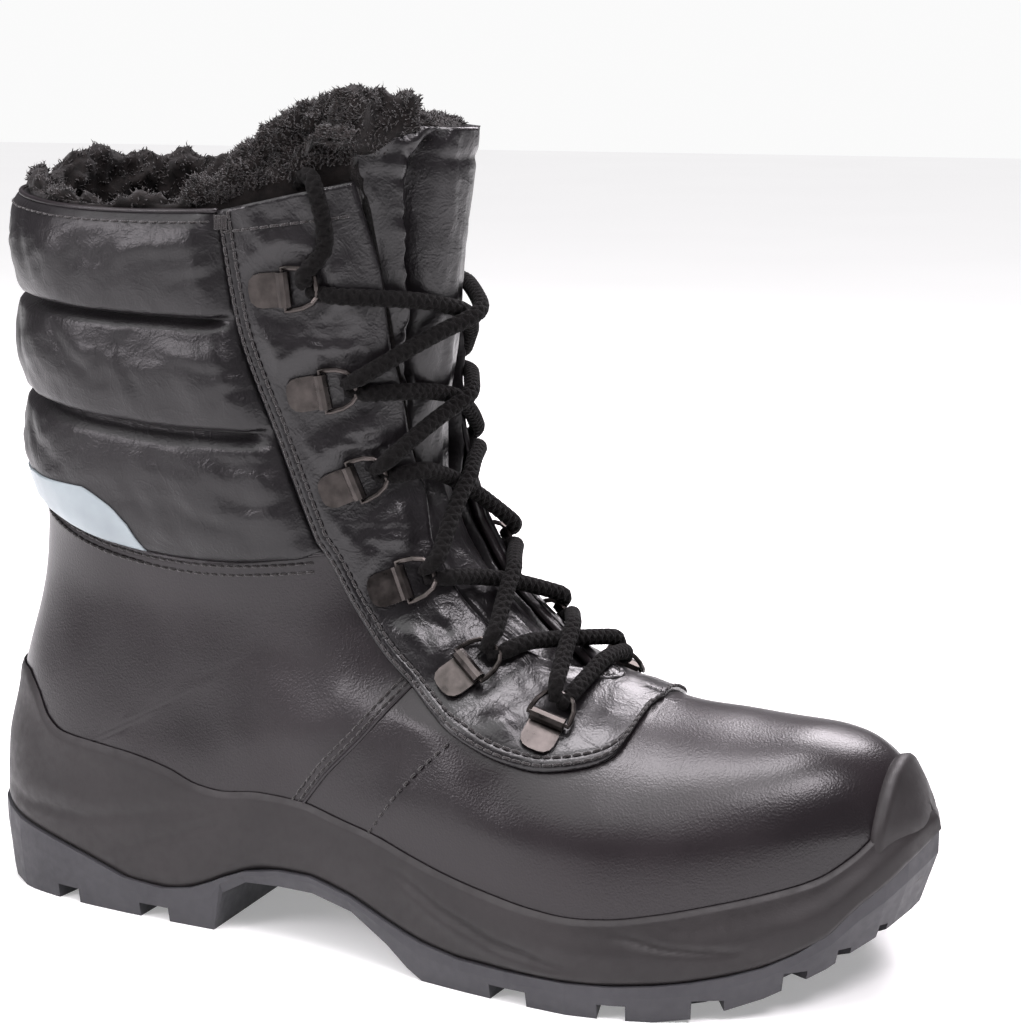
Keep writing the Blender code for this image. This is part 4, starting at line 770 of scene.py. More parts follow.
FACING_CREASES = (
    (((84, 190), (92, 188), (101, 190)), 1.6, 0.6), (((84, 184), (95, 181), (104, 183)), 1.8, 0.5),
    (((93, 160), (101, 158), (110, 161)), 1.6, 0.7), (((92, 154), (104, 152), (112, 155)), 1.5, 0.5),
    (((101, 132), (112, 130), (119, 133)), 1.6, 0.7), (((104, 126), (114, 124), (124, 128)), 1.5, 0.6),
    (((120, 104), (128, 101), (136, 104)), 1.5, 0.7), (((116, 98), (126, 95), (138, 97)), 1.6, 0.5),
    (((142, 80), (150, 79), (158, 82)), 1.6, 0.6), (((150, 74), (158, 71), (170, 72)), 1.6, 0.5),
    (((170, 78), (178, 76), (184, 78)), 1.8, 0.5), (((80, 215), (88, 212), (98, 213)), 2.2, 0.5),
)


def make_facing():
    """Lacing panel: swollen between the plates, pressed in along its stitches and rolled at its edges."""
    steps = [8, 6, 6, 6, 26, 14, 2, 2, 3, 6, 30, 26, 30]
    places = places_from(FACING_PLACE, TOP_PLACE, steps)
    points, normals = skin(places, 0, 44)
    lengths = np.linalg.norm(np.diff(points, axis=2), axis=-1)
    far = np.concatenate((np.zeros((*lengths.shape[:2], 1)), np.cumsum(lengths, axis=2)), axis=2)
    total = far[..., -1:]
    x, z = points[..., 0], points[..., 2]
    away = np.full(x.shape, 1.0)
    for px, pz in PLATES:
        away = np.minimum(away, np.hypot(x - (px + 4) * MM, z - pz * MM))
    free = smooth((away - 0.0085) / 0.006)
    open_edge = np.array([fan_line(p)[4] > THROAT_ROW for p in places])[None, :, None]
    to_edge = np.where(open_edge, total - far, 0.02)
    even = np.minimum(far, to_edge).mean(axis=0, keepdims=True)
    inside = smooth((even - 0.004) / 0.007) * smooth((0.186 - x) / 0.02)
    pad = 0.0016 * free * inside * (0.8 + 0.5 * waves(points, 0.026, 21))
    crease = troughs(x, z, FACING_CREASES) * free * inside
    pad = pad - crease + 0.0003 * free * inside * waves(points, 0.009, 22)
    for row in PANEL_ROWS:
        pad = pad - 0.0003 * np.exp(-((far - row) / 0.0006) ** 2)
    pad = pad + 0.0003 * np.exp(-((far - BETWEEN_ROWS) / 0.0007) ** 2)
    rolled = np.minimum(np.minimum(far, np.where(open_edge, total - far, 1)) / 0.0009, 1)
    rolled = np.sqrt(1 - (1 - rolled) ** 2)
    outer = points + normals * (FIT_GAP + FACING_WALL * (0.35 + 0.65 * rolled) + pad)[..., None]
    inner = points + normals * (FIT_GAP * 0.5)
    obj = finish_mesh("lacing_panel", *shell(inner, outer), NAPPA, "facing_leather", ["facing"])
    return obj, outer, normals, far


# Tongue
TICKS, FLAP_TICKS, TONGUE_ROWS = 60, 6, 110


def front_station(level):
    """Point of the front line at a level, its direction upwards, and the direction into the boot."""
    z = float(rise(level))
    x = float(front_x(z))
    up = np.array((float(front_x(z + 0.001)) - float(front_x(z - 0.001)), 0, 0.002))
    up /= np.linalg.norm(up)
    return np.array((x, float(ridge_y(x, z)), z)), up, np.array((-up[2], 0, up[0]))


def throat_width(edges, station, up):
    """Half width of the throat on each side, level with the station."""
    widths = []
    for k, turn in enumerate((-1, 1)):
        height = (edges[k] - station) @ up
        order = np.argsort(height)
        widths.append(float(np.interp(0, height[order], turn * (edges[k, order, 1] - station[1]))))
    return widths


def tongue_depth(station, inward, half, depth, folds, side):
    """Half section of the tongue: places across and depths at its folds, and the wall that it goes under."""
    deep = np.linspace(0, 0.045, 60)
    rising = np.arange(len(deep)) * 1e-7
    spots = station + inward * deep[:, None]
    wide = np.maximum.accumulate(side * (face_y(spots[:, 0], spots[:, 2], side) - station[1])) + rising
    along_wide, along_deep = np.gradient(wide), np.gradient(deep)
    length = np.hypot(along_wide, along_deep)
    offset = UPPER_WALL + 4 * FIT_GAP
    hidden_wide = np.maximum.accumulate(wide - offset * along_deep / length) + rising
    hidden_deep = deep + offset * along_wide / length
    joint = half - 0.001
    panel = min(TONGUE_PANEL / 2, 0.6 * joint)
    meet = float(np.interp(joint, hidden_wide, hidden_deep))
    brow = depth + 0.3 * panel * folds
    keys = (0, panel * 0.6, panel, panel + 0.3 * (joint - panel), panel + 0.68 * (joint - panel), joint)
    ease = meet - brow
    values = (
        depth, depth + 0.11 * panel * folds, brow, max(brow + TONGUE_FOLD * folds, brow + 0.4 * ease),
        brow + 0.55 * max(ease, 0) - 0.2 * TONGUE_FOLD * folds, meet,
    )
    return keys, values, hidden_wide, hidden_deep


def tongue_grid():
    """Outer face of the tongue as [row, column, xyz], and each row's direction into the boot."""
    edges = skin(places_from(11, TOP_PLACE, 4), 0, 3)[0][:, :, -1]
    rows = []
    inwards = []
    for place in np.linspace(0, len(TONGUE) - 1, TONGUE_ROWS):
        level, depth, folds, width = (
            float(curve(place, range(len(TONGUE)), column(TONGUE, k))) for k in range(4)
        )
        station, up, inward = front_station(level)
        halves = throat_width(edges, station, up)
        row = []
        for k, side in enumerate((-1, 1)):
            half = max(halves[k], 0.0095)
            keys, values, hidden_wide, hidden_deep = tongue_depth(
                station, inward, half, depth * SHAFT_WIDTH, folds, side
            )
            ticks = np.interp(np.linspace(0, 5, TICKS + 1), range(6), keys)
            ends = half + TONGUE_FLAP * np.linspace(0.15, 1, FLAP_TICKS)
            seen = curve(ticks * width, keys, values)
            beyond = np.interp(ends * width, hidden_wide, hidden_deep)
            beyond = np.where(ends * width < keys[-1], curve(ends * width, keys, values), beyond)
            hidden = 1 - float(smooth((level - 2.18) / 0.08))
            low_seen = np.interp(ticks * width, hidden_wide, hidden_deep) + FIT_GAP
            low_beyond = np.interp(ends * width, hidden_wide, hidden_deep) + FIT_GAP
            seen, beyond = seen + (low_seen - seen) * hidden, beyond + (low_beyond - beyond) * hidden
            side_row = [
                station + inward * d + np.array((0, side * w, 0))
                for w, d in zip(np.concatenate((ticks, ends)) * width, np.concatenate((seen, beyond)))
            ]
            row = side_row[:0:-1] + row if k == 0 else row + side_row
        rows.append(row)
        inwards.append(inward)
    return np.array(rows), np.array(inwards)


def make_tongue():
    """Padded tongue: a rolled middle panel, a deep valley and a puffy gusset on each side."""
    outer, inwards = tongue_grid()
    rows, columns = outer.shape[:2]
    middle = columns // 2
    across = np.abs(np.arange(columns) - middle) / middle
    # Place across the folds: 2 at the middle panel's edge, 3 in the valley, 4 on the gusset, 5 at the joint
    fold = (np.abs(np.arange(columns) - middle) * 5 / TICKS)[None, :]
    z = outer[..., 2]
    high = smooth((z - 0.125) / 0.03)
    puffy = np.exp(-((fold - 3.9) / 0.9) ** 2) * high
    ripple = 0.0015 * waves(outer * np.array((1, 1, 0.35)), 0.017, 31) + 0.0006 * waves(outer, 0.007, 32)
    ripple = ripple * (0.30 + 1.0 * puffy)
    fade = smooth((1 - across) / 0.15)[None, :]
    roll = -0.0024 * np.clip(1 - (fold / 2.1) ** 2, 0, 1) ** 0.8
    valley = 0.0058 * np.exp(-(np.abs(fold - 2.62) / 0.42) ** 3)
    shoulder = -0.0030 * np.exp(-((fold - 3.75) / 0.55) ** 2)
    out = (roll + valley + shoulder) * high * fade - ripple * fade * smooth((z - 0.085) / 0.02)
    # The top edge is turned over, so it is a little thicker
    from_top = (np.arange(rows)[::-1] / 9)[:, None]
    hem = 0.0006 * np.exp(-from_top ** 2) - 0.0007 * np.exp(-((from_top - 1.15) / 0.2) ** 2)
    face = outer + inwards[:, None] * (out - hem * fade)[..., None]
    back = outer + inwards[:, None] * (TONGUE_WALL + (valley + shoulder * 0.7) * high * fade)[..., None]
    obj = finish_mesh("padded_tongue", *shell(back[None], face[None]), NAPPA, "tongue_fabric", ["tongue"])
    return obj, outer, back, inwards


# Midsole
MOULD_GROOVES = (
    (((121, 33), (138, 24), (157, 17.5), (179, 14.2)), 1.3, 1.5),
    (((194, 25), (207, 22), (226, 21)), 1.1, 1.2),
    (((-34, 34), (-20, 31), (4, 30), (30, 35), (47, 38.6)), 1.4, 1.0),
    (((18, 21), (36, 28), (58, 36)), 1.5, 0.9),
)
MOULD_SWELLS = (
    (((126, 28), (142, 20), (160, 14.5), (182, 12)), 3.2, -0.9),
    (((-30, 39), (-14, 36), (10, 36), (40, 43)), 4.0, -0.7),
    (((150, 26), (175, 22), (196, 21)), 4.5, -0.7),
)


def profile_of(rows, shares):
    """Heights of a line of the side view at these shares."""
    return rise(curve(shares, column(rows, 0), column(rows, 1)))


def outline_ring(shares, inset):
    """The sole's outline moved inwards, as [side, point, xy]."""
    ring = np.zeros((2, len(shares), 2))
    for k, side in enumerate((-1, 1)):
        rows = np.arange(len(OUTLINE))
        place = np.interp(shares, column(OUTLINE, 0), rows)
        fine = np.linspace(0, len(OUTLINE) - 1, 40 * len(OUTLINE))
        share = curve(fine, rows, column(OUTLINE, 0))
        half = curve(fine, rows, column(OUTLINE, 1 + k)) * width_at(share)
        xy = np.stack([along(share), side * half], axis=1)
        tangent = np.gradient(xy, axis=0)
        tangent[0], tangent[-1] = (0, side), (0, -side)
        normal = np.stack([-tangent[:, 1], tangent[:, 0]], axis=1) * side
        normal /= np.linalg.norm(normal, axis=1, keepdims=True)
        moved = xy - normal * np.interp(fine, place, np.broadcast_to(inset, len(shares)))[:, None]
        ring[k, :, 0] = np.interp(place, fine, moved[:, 0])
        ring[k, :, 1] = np.interp(place, fine, moved[:, 1])
    return ring


def face_ring(stations, z, outset):
    """The upper's outline at these heights moved outwards, as [side, point, xy]."""
    ring = np.zeros((2, len(stations), 2))
    part = (stations - stations[0]) / (stations[-1] - stations[0])
    for k, side in enumerate((-1, 1)):
        for i, (c, height) in enumerate(zip(part, z)):
            low, high = float(back_x(height)), float(front_x(height))
            near = np.clip(np.array((c - 0.004, c, c + 0.004)), 0, 1)
            x = low + (high - low) * near
            y = face_y(x, np.full(3, height), side)
            tangent = np.array((x[2] - x[0], y[2] - y[0]))
            if c in (0.0, 1.0):
                tangent = np.array((0.0, side if c == 0.0 else -side))
            normal = np.array((-tangent[1], tangent[0])) * side
            normal /= np.linalg.norm(normal)
            ring[k, i] = (x[1] + normal[0] * outset, y[1] + normal[1] * outset)
        for i in (0, -1):
            ring[k, i, 1] = float(ridge_y(ring[k, i, 0], z[i]))
    return ring


def sole_shares(count):
    """Shares of the length, closer together at both ends where the outline turns."""
    return 0.001 + 0.5 - 0.5 * np.cos(math.pi * np.linspace(0, 1, count))


def make_midsole():
    """Moulded midsole: its grooved side wall, the lip against the leather, and the toe bumper."""
    shares = sole_shares(170)
    low, top = profile_of(JUNCTION, shares), profile_of(MIDSOLE_TOP, shares)
    ledge = 0.0012 * (1 - smooth((shares - 0.85) / 0.1))
    belly = outline_ring(shares, ledge - 0.0006)
    wall = OUTSOLE_WALL * (1 - 0.3 * smooth((shares - 0.88) / 0.12)) + 2 * FIT_GAP
    inside = outline_ring(shares, wall)
    lip, bare = face_ring(shares, top, LIP_WALL), face_ring(shares, top, -0.0004)
    rings = [(inside, low - 0.0015)]
    for v in np.linspace(0, 1, 26):
        mix = float(curve(v, (0, 0.45, 0.85, 1), (0.0, 0.2, 0.85, 1.0)))
        z = low + FIT_GAP + (top - low - FIT_GAP) * v
        shape = belly * (1 - mix) + lip * mix
        pull = 0.0009 * (1 - smooth(v / 0.06)) + 0.0009 * smooth((v - 0.93) / 0.07) ** 2
        middle = 0.5 * (shape[0] + shape[1])
        for k in range(2):
            depth = troughs(shape[k, :, 0], z, MOULD_GROOVES) + troughs(shape[k, :, 0], z, MOULD_SWELLS)
            inward = middle - shape[k]
            inward /= np.maximum(np.linalg.norm(inward, axis=1, keepdims=True), 0.012)
            shape[k] = shape[k] + inward * (depth + pull)[:, None]
        rings.append((shape, z))
    rings.append((lip * 0.45 + bare * 0.55, top + 0.0004))
    rings.append((bare, top - 0.0004))
    rings.append((face_ring(shares, top - 0.004, -0.0008), top - 0.004))
    count = len(shares)
    points, faces = [], []
    for xy, z in rings:
        for k in range(2):
            points += [(xy[k, i, 0], xy[k, i, 1], z[i]) for i in range(count)]
    stride = 2 * count
    for ring in range(len(rings)):
        after = (ring + 1) % len(rings)
        for k in range(2):
            for i in range(count - 1):
                a, b = ring * stride + k * count + i, after * stride + k * count + i
                faces.append((a, a + 1, b + 1, b))
    faces = [face for face in faces if worth(points, face)]
    skin_points, normals = skin(places_from(0, BUMPER_PLACE, [10, 10, 12]), 40, 14)
    rows = skin_points.shape[1]
    edge = np.linspace(1, 0, rows) * 3
    lift = np.sqrt(1 - (1 - np.clip(edge / 0.35, 0, 1)) ** 2)[None, :, None, None]
    keel = 0.0006 * np.exp(-((np.arange(rows) / rows - 0.93) / 0.05) ** 2)[None, :, None, None]
    outer = skin_points + normals * (BUMPER_WALL * (0.1 + 0.9 * lift) + keel)
    pile = Pile()
    pile.add(points, faces)
    pile.add(*shell(skin_points - normals * 0.001, outer))
    finish_mesh(
        "moulded_midsole", pile.points, pile.faces, MOULDED, "midsole_moulded", ["midsole"], smooth_angle=55,
    )


make_foot_leather()
quilt_points, quilt_normals, quilt_outer = make_quilt()
panel, panel_outer, panel_normals, panel_far = make_facing()
tongue, tongue_outer, tongue_back, tongue_inwards = make_tongue()
make_midsole()


# Laces
def ring_frame(word, number):
    """Middle of a D-ring's bar, its direction away from the plate, the bar's upward direction, and outwards."""
    ring = np.array([v.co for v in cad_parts[f"d_ring_{word}_{number}"].data.vertices])
    plate = np.array([v.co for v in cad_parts[f"lace_plate_{word}_{number}"].data.vertices])
    middle = ring.mean(axis=0)
    out = np.linalg.svd(ring - middle, full_matrices=False)[2][2]
    out *= np.sign(out[1]) * (-1 if word == "lateral" else 1)
    ahead = middle - plate.mean(axis=0)
    ahead -= out * (ahead @ out)
    ahead /= np.linalg.norm(ahead)
    up = np.cross(out, ahead)
    up *= np.sign(up[2])
    places = (ring - middle) @ ahead
    bar = middle + ahead * (places.min() + RING_WIRE / 2)
    return bar, ahead, up, out


def taut_run(start, end, trees, out, bow):
    """Taut path from start to end over whatever the trees hold. out points off the tongue."""
    count, reach = 45, 0.08
    radius = LACE_RADIUS + LACE_GAP
    across = end - start
    beside = np.cross(out, across)
    beside /= np.linalg.norm(beside)
    ahead = np.cross(beside, out)
    ball = [(a, b) for a in np.linspace(-1, 1, 5) for b in np.linspace(-1, 1, 5) if a * a + b * b <= 1]
    bases, heights = [], []
    for i in range(count):
        t = i / (count - 1)
        place = start + across * t
        place[2] += across[2] * (0.5 - bow) * math.sin(math.pi * t)
        base = place - out * (place @ out)
        hits = []
        for tree in trees:
            for a, b in ball:
                origin = base + out * (place @ out + reach) + (beside * a + ahead * b) * radius
                hit = tree.ray_cast(Vector(origin), Vector(-out), 2 * reach)
                if hit[0] is not None:
                    hits.append(np.array(hit[0]) @ out - radius * (1 - math.sqrt(1 - 0.9 * (a * a + b * b))))
        bases.append(base)
        heights.append(max(hits) + radius if hits else -reach)
    heights[0], heights[-1] = max(heights[0], start @ out), max(heights[-1], end @ out)
    taut = list(heights)
    for i in range(1, count - 1):
        best = max(
            heights[a] + (heights[b] - heights[a]) * (i - a) / (b - a)
            for a in range(i) for b in range(i + 1, count)
        )
        taut[i] = max(heights[i], best)
    return np.array([base + out * h for base, h in zip(bases, taut)])


def braid(turn, far):
    """Surface of a round braid: two families of strands that cross over and under."""
    one = np.sin(4 * turn + far * 2 * math.pi / BRAID_PITCH * 2)
    two = np.sin(4 * turn - far * 2 * math.pi / BRAID_PITCH * 2)
    return 0.94 + 0.19 * np.maximum(np.abs(one) ** 0.7 * np.sign(one), np.abs(two) ** 0.7 * np.sign(two))


def through_ring(rig, height, over):
    """Path from inside a ring out to its far side, over or under its wire. height is along the bar."""
    bar, ahead, up, out = rig
    lifts = (-0.0004, 0.0018, 0.0029, 0.0024) if over else (-0.0004, -0.0012, -0.0018, -0.0006)
    reaches = (RING_REACH - 0.0030, RING_REACH - 0.0018, RING_REACH + 0.0002, RING_REACH + 0.0026)
    return [
        bar + ahead * a + out * o + up * height * (0.35 + 0.65 * i / 3)
        for i, (a, o) in enumerate(zip(reaches, lifts))
    ]


def rounded_path(path, rounds=6, step=0.0012):
    """The path with rounded corners, in steps fine enough for the braid."""
    return resampled(softened(resampled(path, step), rounds), 0.0004)


def lace_between(low, high, trees, out):
    """A run of lace from over the wire of the lower ring to under the wire of the higher one."""
    shift = LACE_RADIUS + LACE_GAP
    first, last = through_ring(low, shift, True), through_ring(high, -shift, False)
    run = taut_run(first[-1], last[-1], trees, out, LACE_BOW)
    path = rounded_path(np.concatenate((first[:-1], run, last[-2::-1])))
    far = lengths_along(path)
    thin = np.clip(np.minimum(far, far[-1] - far) / 0.007, 0, 1)
    return tube(path, LACE_RADIUS * (0.70 + 0.27 * smooth(thin)), 20, bumps=braid)


RING_LEVELS = (2.09, 2.31, 2.79, 3.21, 3.48, 3.78)


def make_laces():
    """The bar through the lowest rings and the five crossings above it. Gives back the rings' frames."""
    rigs = {word: [ring_frame(word, n) for n in range(1, 7)] for word in ("lateral", "medial")}
    trees = tree_of(tongue, panel)
    for number in range(6):
        pile = Pile()
        if number == 0:
            out = -front_station(RING_LEVELS[0])[2]
            low, high = rigs["lateral"][0], rigs["medial"][0]
            first, last = through_ring(low, -0.0026, False), through_ring(high, -0.0026, False)
            run = taut_run(first[-1], last[-1], trees, out, 0.5)
            path = rounded_path(np.concatenate((first[:-1], run, last[-2::-1])))
            pile.add(*tube(path, LACE_RADIUS * 0.95, 20, bumps=braid))
            node = "lace_bar"
        else:
            node = f"lace_crossing_{number}"
            out = -front_station((RING_LEVELS[number - 1] + RING_LEVELS[number]) / 2)[2]
            over = list(trees)
            for k, word in enumerate(("medial", "lateral")):
                other = "lateral" if word == "medial" else "medial"
                made = lace_between(rigs[word][number - 1], rigs[other][number], over, out)
                pile.add(*made)
                if k == 0:
                    over.append(BVHTree.FromPolygons([Vector(p) for p in made[0]], made[1]))
        finish_mesh(node.replace("lace_", "braided_"), pile.points, pile.faces, CORD, "lace_cord", [node])
    return rigs


def make_lace_end(rigs):
    """The free end: from the outer top ring up over the collar, and a little way down inside."""
    places = []
    outside = FIT_GAP + FACING_WALL + 2 * FIT_GAP + LACE_RADIUS
    inside = UPPER_WALL + 2 * FIT_GAP + LACE_RADIUS
    for share, level, part in LACE_END:
        point, _ = face_at(along(share), rise(level), -1)
        _, out = face_at(along(share), rise(min(level, 4)), -1)
        places.append(point + out * (outside * (1 - part) - inside * part))
    bar, ahead, up, out = rigs["lateral"][5]
    start = [
        bar + ahead * (RING_REACH - 0.0036) + up * 0.0010 - out * 0.0002,
        bar + ahead * (RING_REACH - 0.0046) + up * 0.0030 + out * 0.0022,
    ]
    path = rounded_path(np.array(start + places), 7, 0.0015)
    points, faces = tube(path, LACE_RADIUS * 0.97, 20, bumps=braid)
    obj = finish_mesh("free_lace_end", points, faces, CORD, "lace_cord", ["lace_end"])
    tip = finish_mesh("lace_tip", *tube(path[-TIP_POINTS:], LACE_RADIUS * 1.12, 16), MOULDED, "lace_cord")


ring_rigs = make_laces()
make_lace_end(ring_rigs)


# Seams, stitches and tape
def side_path(path, side, step=0.0006):
    """Points and normals on the upper's face along a side-view path in mm."""
    path = softened(resampled(np.array(path, float) * MM, step), 12)
    return face_at(path[:, 0], path[:, 1], side)


def beside(path, away):
    """A side-view path in mm moved sideways, to the left of its direction, by this many mm."""
    path = resampled(np.array(path, float), 2.0)
    ahead = np.gradient(path, axis=0)
    ahead /= np.linalg.norm(ahead, axis=1, keepdims=True)
    return path + np.stack([-ahead[:, 1], ahead[:, 0]], axis=1) * away


# Height of a stitch along its length
STITCH_ARCH = (-0.00025, 0.00008, 0.00016, 0.00016, 0.00008, -0.00025)


def stitch_row(pile, points, normals, lift, pitch=0.0030, long=0.0023, radius=0.00045):
    """A row of separate stitches along points, each an arched thread that dips in at both ends."""
    far = lengths_along(points)
    raised = points + normals * lift
    for start in np.arange(0.3 * pitch, far[-1] - pitch, pitch):
        spots = start + np.linspace(0, long, len(STITCH_ARCH))
        centre, out = (
            np.stack([np.interp(spots, far, part[:, k]) for k in range(3)], axis=1)
            for part in (raised, normals)
        )
        pile.add(*tube(centre + out * np.array(STITCH_ARCH)[:, None], radius, 5))


def bead(pile, points, normals, lift, radius, sides=8):
    """A thin rounded edge along points, half sunk in the leather."""
    path = resampled(points + normals * lift, 0.0012)
    pile.add(*tube(softened(path, 2), radius, sides))


# Side-view paths in mm
VAMP_SEAM = ((121.5, 86.5), (106.5, 68.6), (95.4, 57.2), (85.6, 44.5), (82, 38))
TOE_CAP_ROW = ((137.7, 72.8), (128, 63.3), (120.5, 54.4), (110.7, 40.7), (107, 35))


def make_seams():
    """Every row of stitches and every bead along a seam, on both sides."""
    thread, edges = Pile(), Pile()
    first, last = skin(np.array([COUNTER_PLACE - 0.03, COUNTER_PLACE - 0.004]), 80, 0)
    for k, side in enumerate((-1, 1)):
        # Two rows beside the panel's rear edge, and one below its top edge
        for row in PANEL_ROWS:
            rows = []
            for i in range(panel_far.shape[1]):
                if panel_far[k, i, -1] > row + 0.002:
                    rows.append(np.concatenate([
                        [np.interp(row, panel_far[k, i], part[k, i, :, axis]) for axis in range(3)]
                        for part in (panel_outer, panel_normals)
                    ]))
            rows = np.array(rows)
            stitch_row(thread, rows[:, :3], rows[:, 3:], 0.00030)
        stitch_row(thread, panel_outer[k, -7, 1:-1], panel_normals[k, -7, 1:-1], 0.00020)
        # The counter's top edge lies over the lowest puff, with two rows below it
        edge, out = first[k, 1], last[k, 1]
        bead(edges, edge + np.array((0, 0, 0.0003)), out, 0.0003, 0.0008)
        for drop in (0.0024, 0.0052):
            x, z = edge[:, 0], edge[:, 2] - drop
            back = np.maximum(x, back_x(z) + 0.0002)
            points, normals = face_at(back, z, side)
            points[0, 1] = ridge_y(back[0], z[0])
            keep = x < edge[-1, 0] - 0.0015
            stitch_row(thread, points[keep], normals[keep], 0.0002)
        # Quarter over vamp, and the single row ahead of it
        points, normals = side_path(VAMP_SEAM, side)
        bead(edges, points, normals, 0.0001, 0.0006)
        for away in (-1.6, -3.6):
            points, normals = side_path(beside(VAMP_SEAM, away), side)
            stitch_row(thread, points, normals, 0.0001, radius=0.00040)
        points, normals = side_path(TOE_CAP_ROW, side)
        stitch_row(thread, points, normals, 0.0001, pitch=0.0035, long=0.0016, radius=0.00042)
        # Rim of the shaft: a thin binding, and a line of thread under it
        bead(edges, quilt_outer[k, -1], quilt_normals[k, -1], 0.0004, 0.0008)
        stitch_row(
            thread, quilt_outer[k, -4], quilt_normals[k, -4], 0.0001, pitch=0.0034, long=0.0028, radius=0.0003,
        )
        # Bar of close stitches where the panel's seam meets the rim
        corner, out = panel_outer[k, -3, 2], panel_normals[k, -3, 2]
        for step in range(7):
            middle = corner + np.array((0.0006 * step - 0.0022, 0, 0)) + out * 0.0004
            thread.add(*tube(middle + np.linspace((0, 0, -0.0036), (0, 0, 0.0006), 6), 0.00036, 5))
    # The seam stitches take the thread colour that carries a painted highlight
    finish_mesh("seam_stitches", thread.points, thread.faces, THREAD_PAINTED_HIGHLIGHT, "upper_leather")
    finish_mesh("leather_edges", edges.points, edges.faces, GRAIN, "upper_leather")


# The patch's middle, and its rings: radius, height over the panel
PATCH_X, PATCH_Z = 0.1675, 0.08
PATCH_RINGS = (
    (0.0078, -0.0003), (0.0076, 0.0003), (0.0070, 0.0005), (0.0058, 0.0003), (0.0046, 0.0007),
    (0.0030, 0.0011), (0.0014, 0.0008),
)


def make_throat_patch():
    """Round stitched patch at the foot of the tongue."""
    tree = tree_of(panel)[0]
    middle_y = float(ridge_y(PATCH_X, PATCH_Z))

    def dropped(radius, turn):
        """Point and normal of the panel's face at this place round the patch's middle."""
        x, y = PATCH_X + radius * math.cos(turn), middle_y + radius * math.sin(turn)
        hit = tree.ray_cast(Vector((x, y, 0.2)), Vector((0, 0, -1)), 0.2)
        if hit[0]:
            return np.array(hit[0]), np.array(hit[1])
        return np.array((x, y, PATCH_Z)), np.array((0, 0, 1.0))

    thread = np.array([np.concatenate(dropped(0.0058, 2 * math.pi * i / 48)) for i in range(49)])
    pile = Pile()
    stitch_row(pile, thread[:, :3], thread[:, 3:], 0.0006, pitch=0.0018, long=0.0013, radius=0.0002)
    # The patch stitches take the thread colour that carries a painted highlight
    finish_mesh("patch_stitches", pile.points, pile.faces, THREAD_PAINTED_HIGHLIGHT, "facing_leather")
    rings, faces = [], []
    sectors = 40
    for radius, lift in PATCH_RINGS:
        for i in range(sectors):
            turn = 2 * math.pi * i / sectors
            point, out = dropped(radius, turn)
            pucker = 0.00025 * math.sin(9 * turn) * (radius / PATCH_RINGS[0][0])
            rings.append(point + out * (lift + pucker))
    count = len(PATCH_RINGS)
    for j in range(count - 1):
        for i in range(sectors):
            a, b = j * sectors + i, j * sectors + (i + 1) % sectors
            faces.append((a, b, b + sectors, a + sectors))
    rings.append(np.mean(rings[-sectors:], axis=0) + np.array((0, 0, -0.0002)))
    rings.append(np.mean(rings[:sectors], axis=0) - np.array((0, 0, 0.001)))
    for i in range(sectors):
        faces.append(((count - 1) * sectors + i, (count - 1) * sectors + (i + 1) % sectors, count * sectors))
        faces.append(((i + 1) % sectors, i, count * sectors + 1))
    finish_mesh("throat_patch", rings, faces, NAPPA, "facing_leather")


# Top edge of the tape in the side view, in mm
STRIP_TOP = ((-60, 142.6), (-10, 142), (14.6, 140), (24.4, 133.7), (28.2, 129.0), (31.5, 121.0))


def make_strip():
    """Reflective tape round the back, lying on the lowest puff down to the counter's seam."""
    x, z = quilt_points[0, 0, :, 0], quilt_points[0, :, :, 2]
    last = int(np.searchsorted(x, 0.0309))
    rows, lines = 22, np.arange(PUFF_LINES)
    inner, outer = (np.zeros((2, rows, last + 1, 3)) for _ in range(2))
    for j in range(last + 1):
        top_z = np.interp(x[j] / MM, column(STRIP_TOP, 0), column(STRIP_TOP, 1)) * MM
        top = float(np.interp(top_z, z[lines, j], lines))
        spots = np.linspace(0.6, max(top, 1.0), rows)
        for k in range(2):
            for axis in range(3):
                face = np.interp(spots, lines, quilt_outer[k, lines, j, axis])
                out = np.interp(spots, lines, quilt_normals[k, lines, j, axis])
                inner[k, :, j, axis] = face - out * 0.0004
                outer[k, :, j, axis] = face + out * 0.0006
    finish_mesh("tape_strip", *shell(inner, outer), TAPE, "reflective_tape", ["reflective_strip"])


make_seams()
make_throat_patch()
make_strip()


# Fur
TUFT_WIDTH = 0.00026


